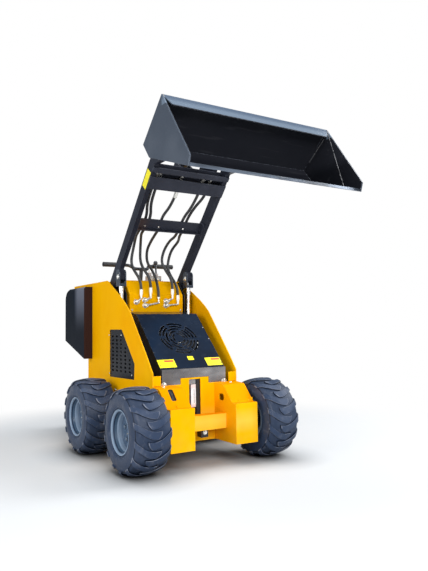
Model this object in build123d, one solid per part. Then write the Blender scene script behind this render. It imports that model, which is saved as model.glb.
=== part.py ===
"""Mini wheel loader: a four-wheeled stand-on machine with its lift arms raised.

Millimetres, +Z up.  The machine faces -Y and its right side is at -X.  It is drawn about the
middle of its wheelbase at ground level, and each piece is moved to the part's own origin, the
middle of its footprint, when it is written.
"""
import os
from math import atan2, cos, degrees, hypot, pi, radians, sin, tan

from build123d import *

# ---- driving dimensions ---------------------------------------------------------------------
DRAWING_TO_ORIGIN_Y = -95.0   # the wheelbase's middle is this far in front of the origin

WHEELBASE = 674.0
HALF_TRACK = 414.0            # wheel centre from the machine's middle
TYRE_RADIUS = 228.5
TYRE_WIDTH = 212.0
RIM_FLANGE_RADIUS = 116.0
RIM_BEAD_RADIUS = 102.0
RIM_HALF_WIDTH = 97.0

HALF_BODY = 280.0             # outer face of a tower's side plate
PLATE = 5.0                   # side plate
WALL_FACE = 212.0             # outer face of an arm channel's inner wall
WALL = 4.0
GROUND_CLEARANCE = 111.0      # under the front legs and the bulkheads
BELLY_Z = 150.0
TOW_PIN_RADIUS = 9.0
TOW_PIN_Y = -321.0

FRONT_BULKHEAD_Y = -240.0
TOWER_FRONT_Y = -258.0
LOWER_REAR_Y = 743.0          # rear face of the body under the rear housing
UPPER_REAR_Y = 663.0          # where the side plates meet the rear housing
HOUSING_REAR_Y = 1068.0
DECK_Z = 1075.0
DECK_REAR_Y = 1032.0
DECK_EDGE = 24.0              # depth of the deck's folded edge, which stands on the rear housing
HOUSING_BOTTOM_Z = 560.0
HALF_HOUSING = 340.0
HOUSING_CORNER = 85.0

# The hood and hydraulic panel, side view (y, z)
HOOD_FOOT = (-229.0, 529.0)
HOOD_TOP = (94.0, 850.0)
PANEL_FOOT = (238.0, 868.0)
PANEL_FOLD = (238.0, 977.0)
PANEL_TOP = (312.0, 1070.0)
HALF_HOOD = 213.0
HALF_PANEL = 192.0
PANEL_FLANGE = 40.0
SHEET = 4.0

# Lift arms: drawn along their own line, s up the arm and t square to it, from the pivot
ARM_PIVOT = (400.0, 876.0)
ARM_ANGLE = 48.0              # degrees above level, as parked
ARM_X = 244.0
ARM_THICK = 30.0
ARM_UNDERSIDE = 58.6
ARM_TOP = 126.6
ARM_PIN_RADIUS = 15.0
HINGE_PIN_RADIUS = 14.0
PIN_GAP = 0.3

LIFT_BASE = (252.0, 350.0)    # lower pin of a lift cylinder
LIFT_EYE = (252.0, 1090.0)    # its pin under the arm
LIFT_BARREL_RADIUS = 24.0
LIFT_BARREL_LENGTH = 380.0
LIFT_ROD_RADIUS = 15.0
LIFT_PIN_RADIUS = 12.0
LIFT_STROKE_ROD = 344.0      # bare length of rod below a clevis
HALF_CLEVIS = 24.0

# Bucket: drawn with f forward along its floor and u square to it, from the floor's heel
BUCKET_HEEL = (-713.0, 1580.0)
BUCKET_DUMP = 19.0            # degrees the floor slopes down to the front, as parked
HALF_BUCKET = 515.0
BUCKET_TIP = 397.0
BUCKET_SIDE_PLATE = 8.0
BUCKET_SHEET = 6.0
BUCKET_BACK_LOW = (-88.0, 55.0)
BUCKET_BACK_TOP = (41.0, 296.0)
BUCKET_LIP = (100.0, 254.4)
LIP_SET_BACK = 42.0           # how far each end of the lip is cut back at its lower edge
BUCKET_NOSE = (393.0, 48.0)
HINGE_ALONG, TILT_ALONG = 35.0, 180.0   # places of the two pins up the bucket's back
PIN_BEHIND_BACK = 65.0

TILT_BASE = (-110.0, 1745.0)
TILT_BARREL_RADIUS = 27.0
TILT_BARREL_LENGTH = 345.0
TILT_ROD_RADIUS = 14.0
TILT_PIN_RADIUS = 12.0

PLATFORM_HINGE = (925.0, 190.0)
PLATFORM_REAR_Y = 1290.0
HALF_PLATFORM = 240.0
PLATFORM_PIN_RADIUS = 10.0

HOSE_RADIUS = 9.0
HOSE_END_S, HOSE_END_T = 925.0, 92.0   # where the hoses end on the lift arms
HOSE_RAIL_S = 990.0


# ---- helpers --------------------------------------------------------------------------------
def save(node, *solids):
    """Write the solids of one node, moved to the part's own origin."""
    shift = Pos(0, DRAWING_TO_ORIGIN_Y, 0)
    moved = [shift * solid for piece in solids for solid in piece.solids()]
    export_step(moved[0] if len(moved) == 1 else Compound(children=moved), f"parts/{node}.step")


def side_face(points):
    """A face in the side view from (y, z) points."""
    return make_face(Plane.YZ * Polyline(*points, close=True))


def side_plate(points, x_low, x_high):
    """A plate with the given side view, between two places across the machine."""
    return extrude(Pos(x_low, 0, 0) * side_face(points), amount=x_high - x_low, dir=(1, 0, 0))


def block(x_low, x_high, y_low, y_high, z_low, z_high):
    """A straight block between its limits."""
    size = (x_high - x_low, y_high - y_low, z_high - z_low)
    centre = ((x_low + x_high) / 2, (y_low + y_high) / 2, (z_low + z_high) / 2)
    return Pos(*centre) * Box(*size)


def cross_rod(radius, x_low, x_high, place):
    """A round bar across the machine at a (y, z) place."""
    axis = Pos((x_low + x_high) / 2, *place) * Rot(0, 90, 0)
    return axis * Cylinder(radius, x_high - x_low)


def bar(start, end, radius):
    """A round bar from one point to another."""
    run = Vector(*end) - Vector(*start)
    return extrude(Plane(origin=start, z_dir=run) * Circle(radius), amount=run.length)


def both_sides(piece):
    """The piece and its mirror image on the other side of the machine."""
    return [piece, mirror(piece, about=Plane.YZ)]


def on_arm(s, t):
    """The (y, z) place of a point s up the arm and t square to it."""
    angle = radians(ARM_ANGLE)
    y = ARM_PIVOT[0] - s * cos(angle) + t * sin(angle)
    z = ARM_PIVOT[1] + s * sin(angle) + t * cos(angle)
    return (y, z)


def on_bucket(f, u):
    """The (y, z) place of a point f forward along the bucket's floor and u square to it."""
    angle = radians(BUCKET_DUMP)
    y = BUCKET_HEEL[0] - f * cos(angle) - u * sin(angle)
    z = BUCKET_HEEL[1] - f * sin(angle) + u * cos(angle)
    return (y, z)


def behind_bucket(along, out):
    """A (y, z) place measured up the bucket's back and out from it to the rear."""
    rise = (BUCKET_BACK_TOP[0] - BUCKET_BACK_LOW[0], BUCKET_BACK_TOP[1] - BUCKET_BACK_LOW[1])
    length = hypot(*rise)
    up = (rise[0] / length, rise[1] / length)
    f = BUCKET_BACK_LOW[0] + along * up[0] - out * up[1]
    u = BUCKET_BACK_LOW[1] + along * up[1] + out * up[0]
    return on_bucket(f, u)


BUCKET_HINGE = behind_bucket(HINGE_ALONG, PIN_BEHIND_BACK)
TILT_EYE = behind_bucket(TILT_ALONG, PIN_BEHIND_BACK)


# ---- wheels ---------------------------------------------------------------------------------
def tyre():
    """One tyre about the X axis: bead, bulging side wall, round shoulder, slightly domed tread."""
    half = TYRE_WIDTH / 2
    bead = RIM_BEAD_RADIUS + 1.5
    outer = Polyline((-half + 18, bead), (-half + 18, 118), (-half, 160))
    outer += ThreePointArc((-half, 160), (-half + 3, 192), (-half + 20, 214))
    outer += ThreePointArc((-half + 20, 214), (0, TYRE_RADIUS), (half - 20, 214))
    outer += ThreePointArc((half - 20, 214), (half - 3, 192), (half, 160))
    outer += Polyline((half, 160), (half - 18, 118), (half - 18, bead), (-half + 18, bead))
    return revolve(make_face(outer), axis=Axis.X)


def rim(outward):
    """One wheel rim: two flanges, a barrel, a deep-set disc, its hub and stub shaft."""
    half = RIM_HALF_WIDTH
    disc = -outward * 8
    ring = [(-half, 92), (-half, 116), (-half + 5, 116), (-half + 7, 102),
            (half - 7, 102), (half - 5, 116), (half, 116), (half, 92),
            (half - 6, 96), (-half + 6, 96)]
    barrel = revolve(make_face(Polyline(*ring, close=True)), axis=Axis.X)
    plate = Pos(disc, 0, 0) * Rot(0, 90, 0) * Cylinder(97, 8)
    hub = Pos(disc - outward * 18, 0, 0) * Rot(0, 90, 0) * Cylinder(60, 30)
    cap = Pos(disc + outward * 14, 0, 0) * Rot(0, 90, 0) * Cylinder(32, 24)
    shaft = Pos(disc - outward * 35, 0, 0) * Rot(0, 90, 0) * Cylinder(22, 12)
    return barrel + plate + hub + cap + shaft


AXLES = {"front": -WHEELBASE / 2, "rear": WHEELBASE / 2}
SIDES = {"right": -1, "left": 1}


def wheels():
    """Four tyres on four rims, each turning about its own stub shaft."""
    shape = tyre()
    for axle, y in AXLES.items():
        for side, way in SIDES.items():
            place = Pos(way * HALF_TRACK, y, TYRE_RADIUS)
            save(f"tyre_{axle}_{side}", place * shape)
            save(f"rim_{axle}_{side}", place * rim(way))


def wheel_motors():
    """Four hydraulic wheel motors on the side plates: square flange, body and gland."""
    motors = []
    for y in AXLES.values():
        flange = block(HALF_BODY, HALF_BODY + 14, y - 65, y + 65, TYRE_RADIUS - 65, TYRE_RADIUS + 65)
        body = cross_rod(52, HALF_BODY + 14, 345, (y, TYRE_RADIUS))
        gland = cross_rod(38, 345, 364.7, (y, TYRE_RADIUS))
        motors += both_sides(flange + body + gland)
    save("wheel_motors", *motors)


# ---- chassis --------------------------------------------------------------------------------
def towers():
    """Two side plates with a screened window, each with the foot that closes its arm channel."""
    outline = [
        (TOWER_FRONT_Y, GROUND_CLEARANCE), (TOWER_FRONT_Y, 425), (TOWER_FRONT_Y, 511),
        (-178, 610), (45, 866), (90, 902), (160, 948), (375, 1066), (400, DECK_Z),
        (UPPER_REAR_Y, DECK_Z), (UPPER_REAR_Y, HOUSING_BOTTOM_Z),
        (LOWER_REAR_Y, HOUSING_BOTTOM_Z), (LOWER_REAR_Y, BELLY_Z), (640, GROUND_CLEARANCE),
    ]
    window = [(361, 457), (361, 745), (350, 757), (167, 757), (158, 750), (-21, 555), (-13, 461)]
    screen = [(369, 449), (369, 765), (160, 765), (-30, 560), (-22, 452)]
    tower = side_plate(outline, HALF_BODY - PLATE, HALF_BODY)
    tower -= side_plate(window, HALF_BODY - PLATE, HALF_BODY)
    tower += block(227, HALF_BODY - PLATE, TOWER_FRONT_Y + 4, TOWER_FRONT_Y + 10, 441, 496)
    save("tower_left", tower)
    save("tower_right", mirror(tower, about=Plane.YZ))
    grille = side_plate(screen, HALF_BODY - PLATE - 2, HALF_BODY - PLATE)
    save("side_grilles", *both_sides(grille))


def arm_channels():
    """Inner walls of the two channels that the arms and lift cylinders run in."""
    wall = side_plate(
        [(-225, 300), (-225, HOOD_FOOT[1] - 4), (HOOD_TOP[0], HOOD_TOP[1] - 6),
         (PANEL_FOOT[0] + 6, PANEL_FOOT[1] - 6), (PANEL_FOLD[0] + 6, PANEL_FOLD[1]),
         (PANEL_TOP[0] + 7, PANEL_TOP[1]), (470, PANEL_TOP[1]), (470, 300)],
        WALL_FACE - WALL, WALL_FACE)
    pin = cross_rod(ARM_PIN_RADIUS, WALL_FACE, HALF_BODY - PLATE, ARM_PIVOT)
    foot = cross_rod(LIFT_PIN_RADIUS, WALL_FACE, HALF_BODY - PLATE, LIFT_BASE)
    save("channel_walls", *both_sides(wall))
    save("pivot_pins", *both_sides(pin), *both_sides(foot))


def bulkheads():
    """Belly plate, slotted front bulkhead and the rear bulkhead with the platform's brackets."""
    inside = HALF_BODY - PLATE
    belly = block(-inside, inside, FRONT_BULKHEAD_Y + 6, LOWER_REAR_Y - 6, BELLY_Z, BELLY_Z + 6)
    front = block(-inside, inside, FRONT_BULKHEAD_Y, FRONT_BULKHEAD_Y + 6, GROUND_CLEARANCE, 440)
    front += block(-93, 93, FRONT_BULKHEAD_Y, FRONT_BULKHEAD_Y + 6, 440, 475)
    front -= block(-38, 38, FRONT_BULKHEAD_Y, FRONT_BULKHEAD_Y + 6, 262, 466)
    front += block(-60, 60, FRONT_BULKHEAD_Y + 6, FRONT_BULKHEAD_Y + 44, 236, 240)
    front += block(-60, 60, FRONT_BULKHEAD_Y + 40, FRONT_BULKHEAD_Y + 44, 240, 480)
    rear = block(-inside, inside, LOWER_REAR_Y - 6, LOWER_REAR_Y, BELLY_Z, HOUSING_BOTTOM_Z)
    shelf = block(-inside, inside, UPPER_REAR_Y, LOWER_REAR_Y, HOUSING_BOTTOM_Z - 6, HOUSING_BOTTOM_Z)
    save("belly_plate", belly)
    save("front_bulkhead", front)
    y, z = PLATFORM_HINGE
    bracket = block(150, 162, LOWER_REAR_Y, y + 16, z - 16, z + 16)
    bracket += block(150, 162, LOWER_REAR_Y, LOWER_REAR_Y + 60, z + 16, z + 80)
    bracket -= cross_rod(PLATFORM_PIN_RADIUS + PIN_GAP, 140, 170, PLATFORM_HINGE)
    for one in both_sides(bracket):
        rear += one
    save("rear_bulkhead", rear + shelf)


def front_frame():
    """Two sheet legs with slanted tops, the beam between them and the tow lug under it."""
    leg_outline = [
        (-465, GROUND_CLEARANCE), (-465, 336), (-427, 336), (-335, 432), (TOWER_FRONT_Y, 438),
        (FRONT_BULKHEAD_Y, 438), (FRONT_BULKHEAD_Y, GROUND_CLEARANCE)]
    hollow = [(-459, GROUND_CLEARANCE), (-459, 330), (-430, 330), (-338, 426),
              (-264, 432), (-264, GROUND_CLEARANCE)]
    leg = side_plate(leg_outline, 133, HALF_BODY - PLATE)
    leg += side_plate(leg_outline[:5] + [(TOWER_FRONT_Y, GROUND_CLEARANCE)], 270, HALF_BODY)
    leg -= side_plate(hollow, 139, HALF_BODY - 6)
    hand_hole = Pos(136, -315, 360) * Rot(0, 90, 0) * extrude(RectangleRounded(38, 52, 15), 4, both=True)
    slope = atan2(432 - 336, -335 + 427)
    slot_place = Pos(-216, -365, 401) * Rot(degrees(slope), 0, 0)
    slot = slot_place * extrude(RectangleRounded(31, 80, 11), amount=24, both=True)
    save("front_legs", mirror(leg - hand_hole, about=Plane.YZ) - slot, leg - hand_hole)
    pin_hole = Pos(0, TOW_PIN_Y, 172) * Cylinder(TOW_PIN_RADIUS, 60)
    beam = block(-133, 133, -364, -300, 190, 273) - block(-127, 127, -358, -300, 196, 267)
    save("front_beam", beam - pin_hole)
    save("tow_lug", block(-22, 22, -345, -297, 148, 190) - pin_hole)


def hood():
    """Sloping black hood: ledge, slope with the ring-slotted fan opening, and the front apron."""
    slope = atan2(HOOD_TOP[1] - HOOD_FOOT[1], HOOD_TOP[0] - HOOD_FOOT[0])
    drop = SHEET / sin((slope + radians(90)) / 2)
    outer = [HOOD_FOOT, HOOD_TOP, (PANEL_FOOT[0], PANEL_FOOT[1])]
    inner = [(PANEL_FOOT[0], PANEL_FOOT[1] - SHEET), (HOOD_TOP[0] + 1.2, HOOD_TOP[1] - SHEET),
             (HOOD_FOOT[0] + drop * 0.92, HOOD_FOOT[1] - 1.5)]
    sheet = side_plate(outer + inner, -HALF_HOOD, HALF_HOOD)
    middle = ((HOOD_FOOT[0] + HOOD_TOP[0]) / 2 + 12, (HOOD_FOOT[1] + HOOD_TOP[1]) / 2 + 11)
    fan = Pos(0, *middle) * Rot(degrees(slope), 0, 0)
    # Rings of slots: outer radius, inner radius, how many, and each one's sweep in degrees
    slots = [(128, 115, 6, 50), (107, 94, 6, 48), (86, 73, 5, 58), (65, 52, 4, 72),
             (44, 31, 3, 96)]
    for far, near, count, sweep_angle in slots:
        for index in range(count):
            slot = ring_slot(far, near, index * 360 / count, sweep_angle)
            sheet -= fan * extrude(slot, amount=20, both=True)
    save("hood", sheet)
    apron = block(-HALF_HOOD, HALF_HOOD, -229 - SHEET, -229, 440, HOOD_FOOT[1] - 0.5)
    apron -= block(-96, 96, -229 - SHEET, -229, 440, 477)
    save("hood_apron", Pos(0, -11 + SHEET, 0) * apron)


def ring_slot(far, near, start, sweep_angle):
    """A flat ring-shaped slot between two radii, from a start angle round a sweep."""
    angles = [radians(start + part * sweep_angle) for part in (0, 0.5, 1)]
    far_arc = [(far * cos(angle), far * sin(angle)) for angle in angles]
    near_arc = [(near * cos(angle), near * sin(angle)) for angle in reversed(angles)]
    edges = ThreePointArc(*far_arc) + Line(far_arc[2], near_arc[0])
    edges += ThreePointArc(*near_arc) + Line(near_arc[2], far_arc[0])
    return make_face(edges)


def upper_body():
    """Hydraulic panel, deck over the engine bay and the black rear housing."""
    front = [PANEL_FOOT, PANEL_FOLD, PANEL_TOP]
    rear = [(PANEL_TOP[0] + 6, PANEL_TOP[1]), (PANEL_FOLD[0] + 5, PANEL_FOLD[1] - 1),
            (PANEL_FOOT[0] + 5, PANEL_FOOT[1])]
    panel = side_plate(front + rear, -HALF_PANEL, HALF_PANEL)
    flange = [(y + PANEL_FLANGE, z) for y, z in reversed(front)]
    for one in both_sides(side_plate(front + flange, HALF_PANEL - SHEET, HALF_PANEL)):
        panel += one
    deck = block(-WALL_FACE + WALL, WALL_FACE - WALL, PANEL_TOP[0], 480, DECK_Z - 5, DECK_Z)
    deck += block(-HALF_BODY + PLATE, HALF_BODY - PLATE, 480, UPPER_REAR_Y, DECK_Z - 5, DECK_Z)
    deck += block(-HALF_BODY, HALF_BODY, UPPER_REAR_Y, DECK_REAR_Y, DECK_Z - 5, DECK_Z)
    top = DECK_Z - DECK_EDGE
    deck += block(-HALF_BODY, HALF_BODY, DECK_REAR_Y - 4, DECK_REAR_Y, top, DECK_Z)
    for one in both_sides(block(HALF_BODY - 4, HALF_BODY, UPPER_REAR_Y, DECK_REAR_Y, top, DECK_Z)):
        deck += one
    wings = side_plate(
        [(UPPER_REAR_Y, HOUSING_BOTTOM_Z), (HOUSING_REAR_Y, 682), (HOUSING_REAR_Y, top),
         (UPPER_REAR_Y, top)], -HALF_HOUSING, HALF_HOUSING)
    corner = [e for e in wings.edges().filter_by(Axis.X) if e.center().Y > 1000 and e.center().Z > 1000]
    wings = fillet(corner, HOUSING_CORNER)
    long_edges = [e for e in wings.edges() if abs(e.center().X) > HALF_HOUSING - 1 and e.center().Z > 1000]
    wings = chamfer(long_edges, 12)
    sill = block(-HALF_BODY, HALF_BODY, UPPER_REAR_Y, LOWER_REAR_Y, HOUSING_BOTTOM_Z, 600)
    save("hydraulic_panel", panel)
    save("top_deck", deck)
    save("rear_housing", wings + sill)
    save("engine_block", block(-170, 170, 230, 640, 300, 700))


def controls():
    """T-shaped drive handle on its post, and the control valve with its lever."""
    grip = [(255, 512, 1195), (75, 512, 1195), (45, 470, 1168), (-45, 470, 1168),
            (-75, 512, 1195), (-255, 512, 1195)]
    path = FilletPolyline(*grip, radius=22)
    tube = sweep(Plane(origin=grip[0], z_dir=(-1, 0, 0)) * Circle(11), path=path)
    post = bar((0, 485, DECK_Z + 5), (0, 470, 1168), 13)
    foot = block(-30, 30, 455, 515, DECK_Z, DECK_Z + 8)
    pads = [cross_rod(16, 110, 262, (512, 1195)), cross_rod(16, -262, -110, (512, 1195))]
    save("drive_handle", tube + post + foot)
    save("handle_grips", *[pad - cross_rod(11, -300, 300, (512, 1195)) for pad in pads])
    valve = block(20, 112, 390, 450, DECK_Z, DECK_Z + 42)
    valve += bar((40, 420, DECK_Z + 42), (40, 420, DECK_Z + 66), 12)
    valve += bar((88, 420, DECK_Z + 42), (88, 420, DECK_Z + 60), 14)
    lever = bar((88, 420, DECK_Z + 60), (97, 446, 1205), 6)
    knob = Pos(97, 446, 1212) * Sphere(15)
    save("control_valve", valve)
    save("control_lever", lever + knob - valve)


def level_gauge():
    """Sight gauge behind the slot of the front bulkhead."""
    save("level_gauge", block(-18, 14, FRONT_BULKHEAD_Y + 14, FRONT_BULKHEAD_Y + 40, 304, 434))


# Ports on the hydraulic panel: x and height of the port, x of the riser, heights of its ends
PORTS = [
    (-149, 931, -124, 956, 1004),
    (-89, 944, -57, 957, 1017),
    (-86, 909, 0, 925, 963),
    (66, 938, 102, 954, 1011),
    (64, 910, 142, 917, 971),
]
PORT_REACH = 26.0             # how far the elbows stand out from the panel


def riser_ends(port):
    """Lower and upper end of the riser that a hose is crimped on."""
    x, foot_z, top_z = port[2:]
    y = PANEL_FOOT[0] - PORT_REACH
    return Vector(x, y, foot_z), Vector(x, y, top_z)


def hydraulic_fittings():
    """Five elbows on the panel: port nut, cross tube and the riser that holds a hose."""
    fittings = []
    for port in PORTS:
        place = (port[0], PANEL_FOOT[0], port[1])
        knee = (port[0], PANEL_FOOT[0] - PORT_REACH, port[1])
        low, top = riser_ends(port)
        fitting = bar(place, knee, 12) + Pos(*knee) * Sphere(12)
        fitting += bar(knee, tuple(low), 8) + Pos(*low) * Sphere(10)
        fitting += bar(tuple(low), tuple(top), 10)
        fittings.append(fitting)
    save("hydraulic_fittings", *fittings)


# ---- lift arms ------------------------------------------------------------------------------
def arm_outline():
    """Side view of an arm: pivot lug, straight bar with the cylinder lug, and the gooseneck."""
    return [
        (-38, -14), (-16, -38), (16, -38), (38, -14), (130, ARM_UNDERSIDE), (214, ARM_UNDERSIDE),
        (236, 20), (258, 9), (280, 20), (302, ARM_UNDERSIDE), (1050, ARM_UNDERSIDE),
        (1298, -219), (1326, -228), (1354, -212), (1362, -182), (1352, -160),
        (1150, 110), (1120, ARM_TOP), (-10, ARM_TOP), (-38, 96)]


def lift_arms():
    """Two arms joined by a bolted lower bar and an upper pair of plates."""
    half = ARM_THICK / 2
    outline = [on_arm(s, t) for s, t in arm_outline()]
    arm = side_plate(outline, ARM_X - half, ARM_X + half)
    arm -= cross_rod(ARM_PIN_RADIUS + PIN_GAP, 200, 290, ARM_PIVOT)
    arm -= cross_rod(HINGE_PIN_RADIUS + PIN_GAP, 200, 290, BUCKET_HINGE)
    arm -= cross_rod(LIFT_PIN_RADIUS, 200, 290, LIFT_EYE)
    save("lift_arm_left", arm)
    save("lift_arm_right", mirror(arm, about=Plane.YZ))
    inner = ARM_X - half
    outer = ARM_X + half
    bar_plate = arm_plate(589, 662, 94, 102, inner) + arm_plate(589, 597, 74, 94, inner)
    tab = [on_arm(s, t) for s, t in [(585, 62), (666, 62), (666, 122), (585, 122)]]
    for one in both_sides(side_plate(tab, inner - 6, inner)):
        bar_plate += one
    front = arm_plate(890, 970, ARM_UNDERSIDE - 6, ARM_UNDERSIDE, outer)
    strip = arm_plate(1002, 1030, ARM_UNDERSIDE - 8, ARM_UNDERSIDE, outer)
    back = arm_plate(890, 1030, 108, 114, inner) + arm_plate(HOSE_RAIL_S, HOSE_RAIL_S + 8, 66, 108, inner)
    rear = arm_plate(950, 1020, ARM_TOP - 10, ARM_TOP, inner)
    ear = [on_arm(s, t) for s, t in
           [(952, ARM_TOP), (962, 204), (974, 224), (1000, 224), (1012, 204), (1018, ARM_TOP)]]
    ears = both_sides(side_plate(ear, 31, 43))
    pin = cross_rod(TILT_PIN_RADIUS, -43, 43, TILT_BASE)
    save("arm_cross_plates", bar_plate, front, strip, back)
    save("tilt_bracket", rear + ears[0] + ears[1] + pin)


def arm_plate(s_low, s_high, t_low, t_high, half_width):
    """A flat plate between the arms, given by its limits along and square to the arms."""
    corners = [(s_low, t_low), (s_high, t_low), (s_high, t_high), (s_low, t_high)]
    return side_plate([on_arm(s, t) for s, t in corners], -half_width, half_width)


def along_arm(x, s_low, s_high, t, radius):
    """A round bar that runs up the arm."""
    return bar((x, *on_arm(s_low, t)), (x, *on_arm(s_high, t)), radius)


HOSE_TOP_X = [-207.0, -183.0, -38.0, 113.0, 163.0]


def arm_services():
    """Hose fittings behind the upper front plates, and the auxiliary coupler block."""
    fittings = [along_arm(x, HOSE_END_S, HOSE_RAIL_S, HOSE_END_T, 11) for x in HOSE_TOP_X]
    save("arm_fittings", *fittings)
    corners = [(1000, ARM_TOP), (1040, ARM_TOP), (1040, ARM_TOP + 44), (1000, ARM_TOP + 44)]
    coupler = side_plate([on_arm(s, t) for s, t in corners], 105, 205)
    for x in (130, 180):
        coupler += bar((x, *on_arm(1000, ARM_TOP + 24)), (x, *on_arm(968, ARM_TOP + 24)), 15)
    save("coupler_block", coupler)


# ---- cylinders ------------------------------------------------------------------------------
def cylinder_barrel(x, base, eye, radius, length, bore, pin_radius, half_eye):
    """A cylinder's barrel: base eye, tube with its gland and the bore that the rod slides in."""
    start, way = Vector(x, *base), (Vector(x, *eye) - Vector(x, *base)).normalized()
    tube = bar(tuple(start + way * (pin_radius + 4)), tuple(start + way * length), radius)
    eye_ring = cross_rod(pin_radius + 12, x - half_eye, x + half_eye, base)
    hole = bar(tuple(start + way * (pin_radius + 30)), tuple(start + way * (length + 1)), bore)
    pin_hole = cross_rod(pin_radius + PIN_GAP, x - 60, x + 60, base)
    return tube + eye_ring - hole - pin_hole


def lift_cylinders():
    """Two upright lift cylinders, each with a clevis on its rod that straddles its arm."""
    barrel = cylinder_barrel(ARM_X, LIFT_BASE, LIFT_EYE, LIFT_BARREL_RADIUS, LIFT_BARREL_LENGTH,
                             LIFT_ROD_RADIUS + PIN_GAP, LIFT_PIN_RADIUS, 24)
    y, z = LIFT_EYE
    low, high = ARM_X - HALF_CLEVIS, ARM_X + HALF_CLEVIS
    fork = block(low, high, y - 27, y + 27, z - 61, z + 22)
    fork += cross_rod(27, low, high, (y, z + 20))
    fork -= block(ARM_X - 17, ARM_X + 17, y - 60, y + 60, z - 43, z + 60)
    rod = bar((ARM_X, y, z - 61 - LIFT_STROKE_ROD), (ARM_X, y, z - 61), LIFT_ROD_RADIUS)
    save("lift_barrel_left", barrel)
    save("lift_barrel_right", mirror(barrel, about=Plane.YZ))
    save("lift_rod_left", rod)
    save("lift_rod_right", mirror(rod, about=Plane.YZ))
    save("lift_clevis_left", fork)
    save("lift_clevis_right", mirror(fork, about=Plane.YZ))


def tilt_cylinder():
    """The bucket's tilt cylinder on the machine's centre line."""
    barrel = cylinder_barrel(0, TILT_BASE, TILT_EYE, TILT_BARREL_RADIUS, TILT_BARREL_LENGTH,
                             TILT_ROD_RADIUS + PIN_GAP, TILT_PIN_RADIUS, 28)
    base, eye = Vector(0, *TILT_BASE), Vector(0, *TILT_EYE)
    way = (eye - base).normalized()
    ring = cross_rod(TILT_PIN_RADIUS + 12, -26, 26, TILT_EYE)
    rod = bar(tuple(eye - way * 325), tuple(eye - way * 18), TILT_ROD_RADIUS)
    hole = cross_rod(TILT_PIN_RADIUS + 0.5, -40, 40, TILT_EYE)
    save("tilt_barrel", barrel)
    save("tilt_rod", rod + ring - hole)


# ---- bucket ---------------------------------------------------------------------------------
def bucket():
    """Welded bucket: bent floor and back, two side plates, a top lip and a cutting edge."""
    skin = [(BUCKET_TIP - 60, 0), (0, 0), BUCKET_BACK_LOW, BUCKET_BACK_TOP, BUCKET_LIP]
    inner = [(BUCKET_LIP[0] - 5, BUCKET_LIP[1] - 5), (43, 289), (-81, 58), (2, BUCKET_SHEET),
             (BUCKET_TIP - 60, BUCKET_SHEET)]
    shell = side_plate([on_bucket(f, u) for f, u in skin + inner], -HALF_BUCKET, HALF_BUCKET)
    for one in both_sides(lip_mitre()):
        shell -= one
    side = [on_bucket(f, u) for f, u in
            [(0, 0), (BUCKET_TIP - 2, 0), BUCKET_NOSE, BUCKET_BACK_TOP, BUCKET_BACK_LOW]]
    for way in (-1, 1):
        low, high = sorted((way * HALF_BUCKET, way * (HALF_BUCKET - BUCKET_SIDE_PLATE)))
        shell += side_plate(side, low, high)
    blade = [(BUCKET_TIP - 60, 0), (BUCKET_TIP, 0), (BUCKET_TIP, 2), (BUCKET_TIP - 14, 14),
             (BUCKET_TIP - 90, 14), (BUCKET_TIP - 90, BUCKET_SHEET), (BUCKET_TIP - 60, BUCKET_SHEET)]
    half = HALF_BUCKET - BUCKET_SIDE_PLATE
    edge = side_plate([on_bucket(f, u) for f, u in blade], -half, half)
    save("bucket", shell)
    save("cutting_edge", edge)


def lip_mitre():
    """The slanted cut at one end of the bucket's top lip."""
    along = Vector(0, *on_bucket(*BUCKET_LIP)) - Vector(0, *on_bucket(*BUCKET_BACK_TOP))
    plane = Plane(origin=(HALF_BUCKET, *on_bucket(*BUCKET_BACK_TOP)), x_dir=along,
                  z_dir=along.cross(Vector(1, 0, 0)))
    corners = [(0, 0), (2 * along.length, 0), (2 * along.length, 2 * LIP_SET_BACK)]
    if plane.y_dir.X > 0:
        corners = [(a, -b) for a, b in corners]
    return extrude(plane * make_face(Polyline(*corners, close=True)), amount=30, both=True)


def quick_attach():
    """Attachment plate on the bucket's back: flat plate, hinge ears, tilt ears and hinge pins."""
    corners = [(8, 0), (262, 0), (262, 12), (8, 12)]
    plate = side_plate([behind_bucket(*c) for c in corners], -300, 300)
    hinge_ear = [(4, 12), (108, 12), (70, 84), (50, 98), (20, 98), (0, 76)]
    tilt_ear = [(110, 12), (250, 12), (212, 84), (195, 98), (165, 98), (148, 84)]
    for x in (ARM_X - 30, ARM_X + 18):
        for ear in both_sides(side_plate([behind_bucket(*p) for p in hinge_ear], x, x + 12)):
            plate += ear
    for ear in both_sides(side_plate([behind_bucket(*p) for p in tilt_ear], 29, 41)):
        plate += ear
    for pin in both_sides(cross_rod(HINGE_PIN_RADIUS, ARM_X - 34, ARM_X + 34, BUCKET_HINGE)):
        plate += pin
    save("quick_attach_plate", plate)


# ---- operator platform ----------------------------------------------------------------------
def platform():
    """Folding tread at the back, turning on a rod through its two hinge lugs."""
    y, z = PLATFORM_HINGE
    tread = block(-HALF_PLATFORM, HALF_PLATFORM, y + 24, PLATFORM_REAR_Y, z - 4, z + 2)
    tread += block(-HALF_PLATFORM, -HALF_PLATFORM + 6, y + 24, PLATFORM_REAR_Y, z - 24, z + 2)
    tread += block(HALF_PLATFORM - 6, HALF_PLATFORM, y + 24, PLATFORM_REAR_Y, z - 24, z + 2)
    tread += block(-HALF_PLATFORM, HALF_PLATFORM, PLATFORM_REAR_Y - 6, PLATFORM_REAR_Y, z - 24, z + 2)
    for x in (128, -144):
        tread += block(x, x + 16, y, y + 60, z - 14, z + 2)
    tread += cross_rod(PLATFORM_PIN_RADIUS, -166, 166, PLATFORM_HINGE)
    save("operator_platform", tread)


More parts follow.
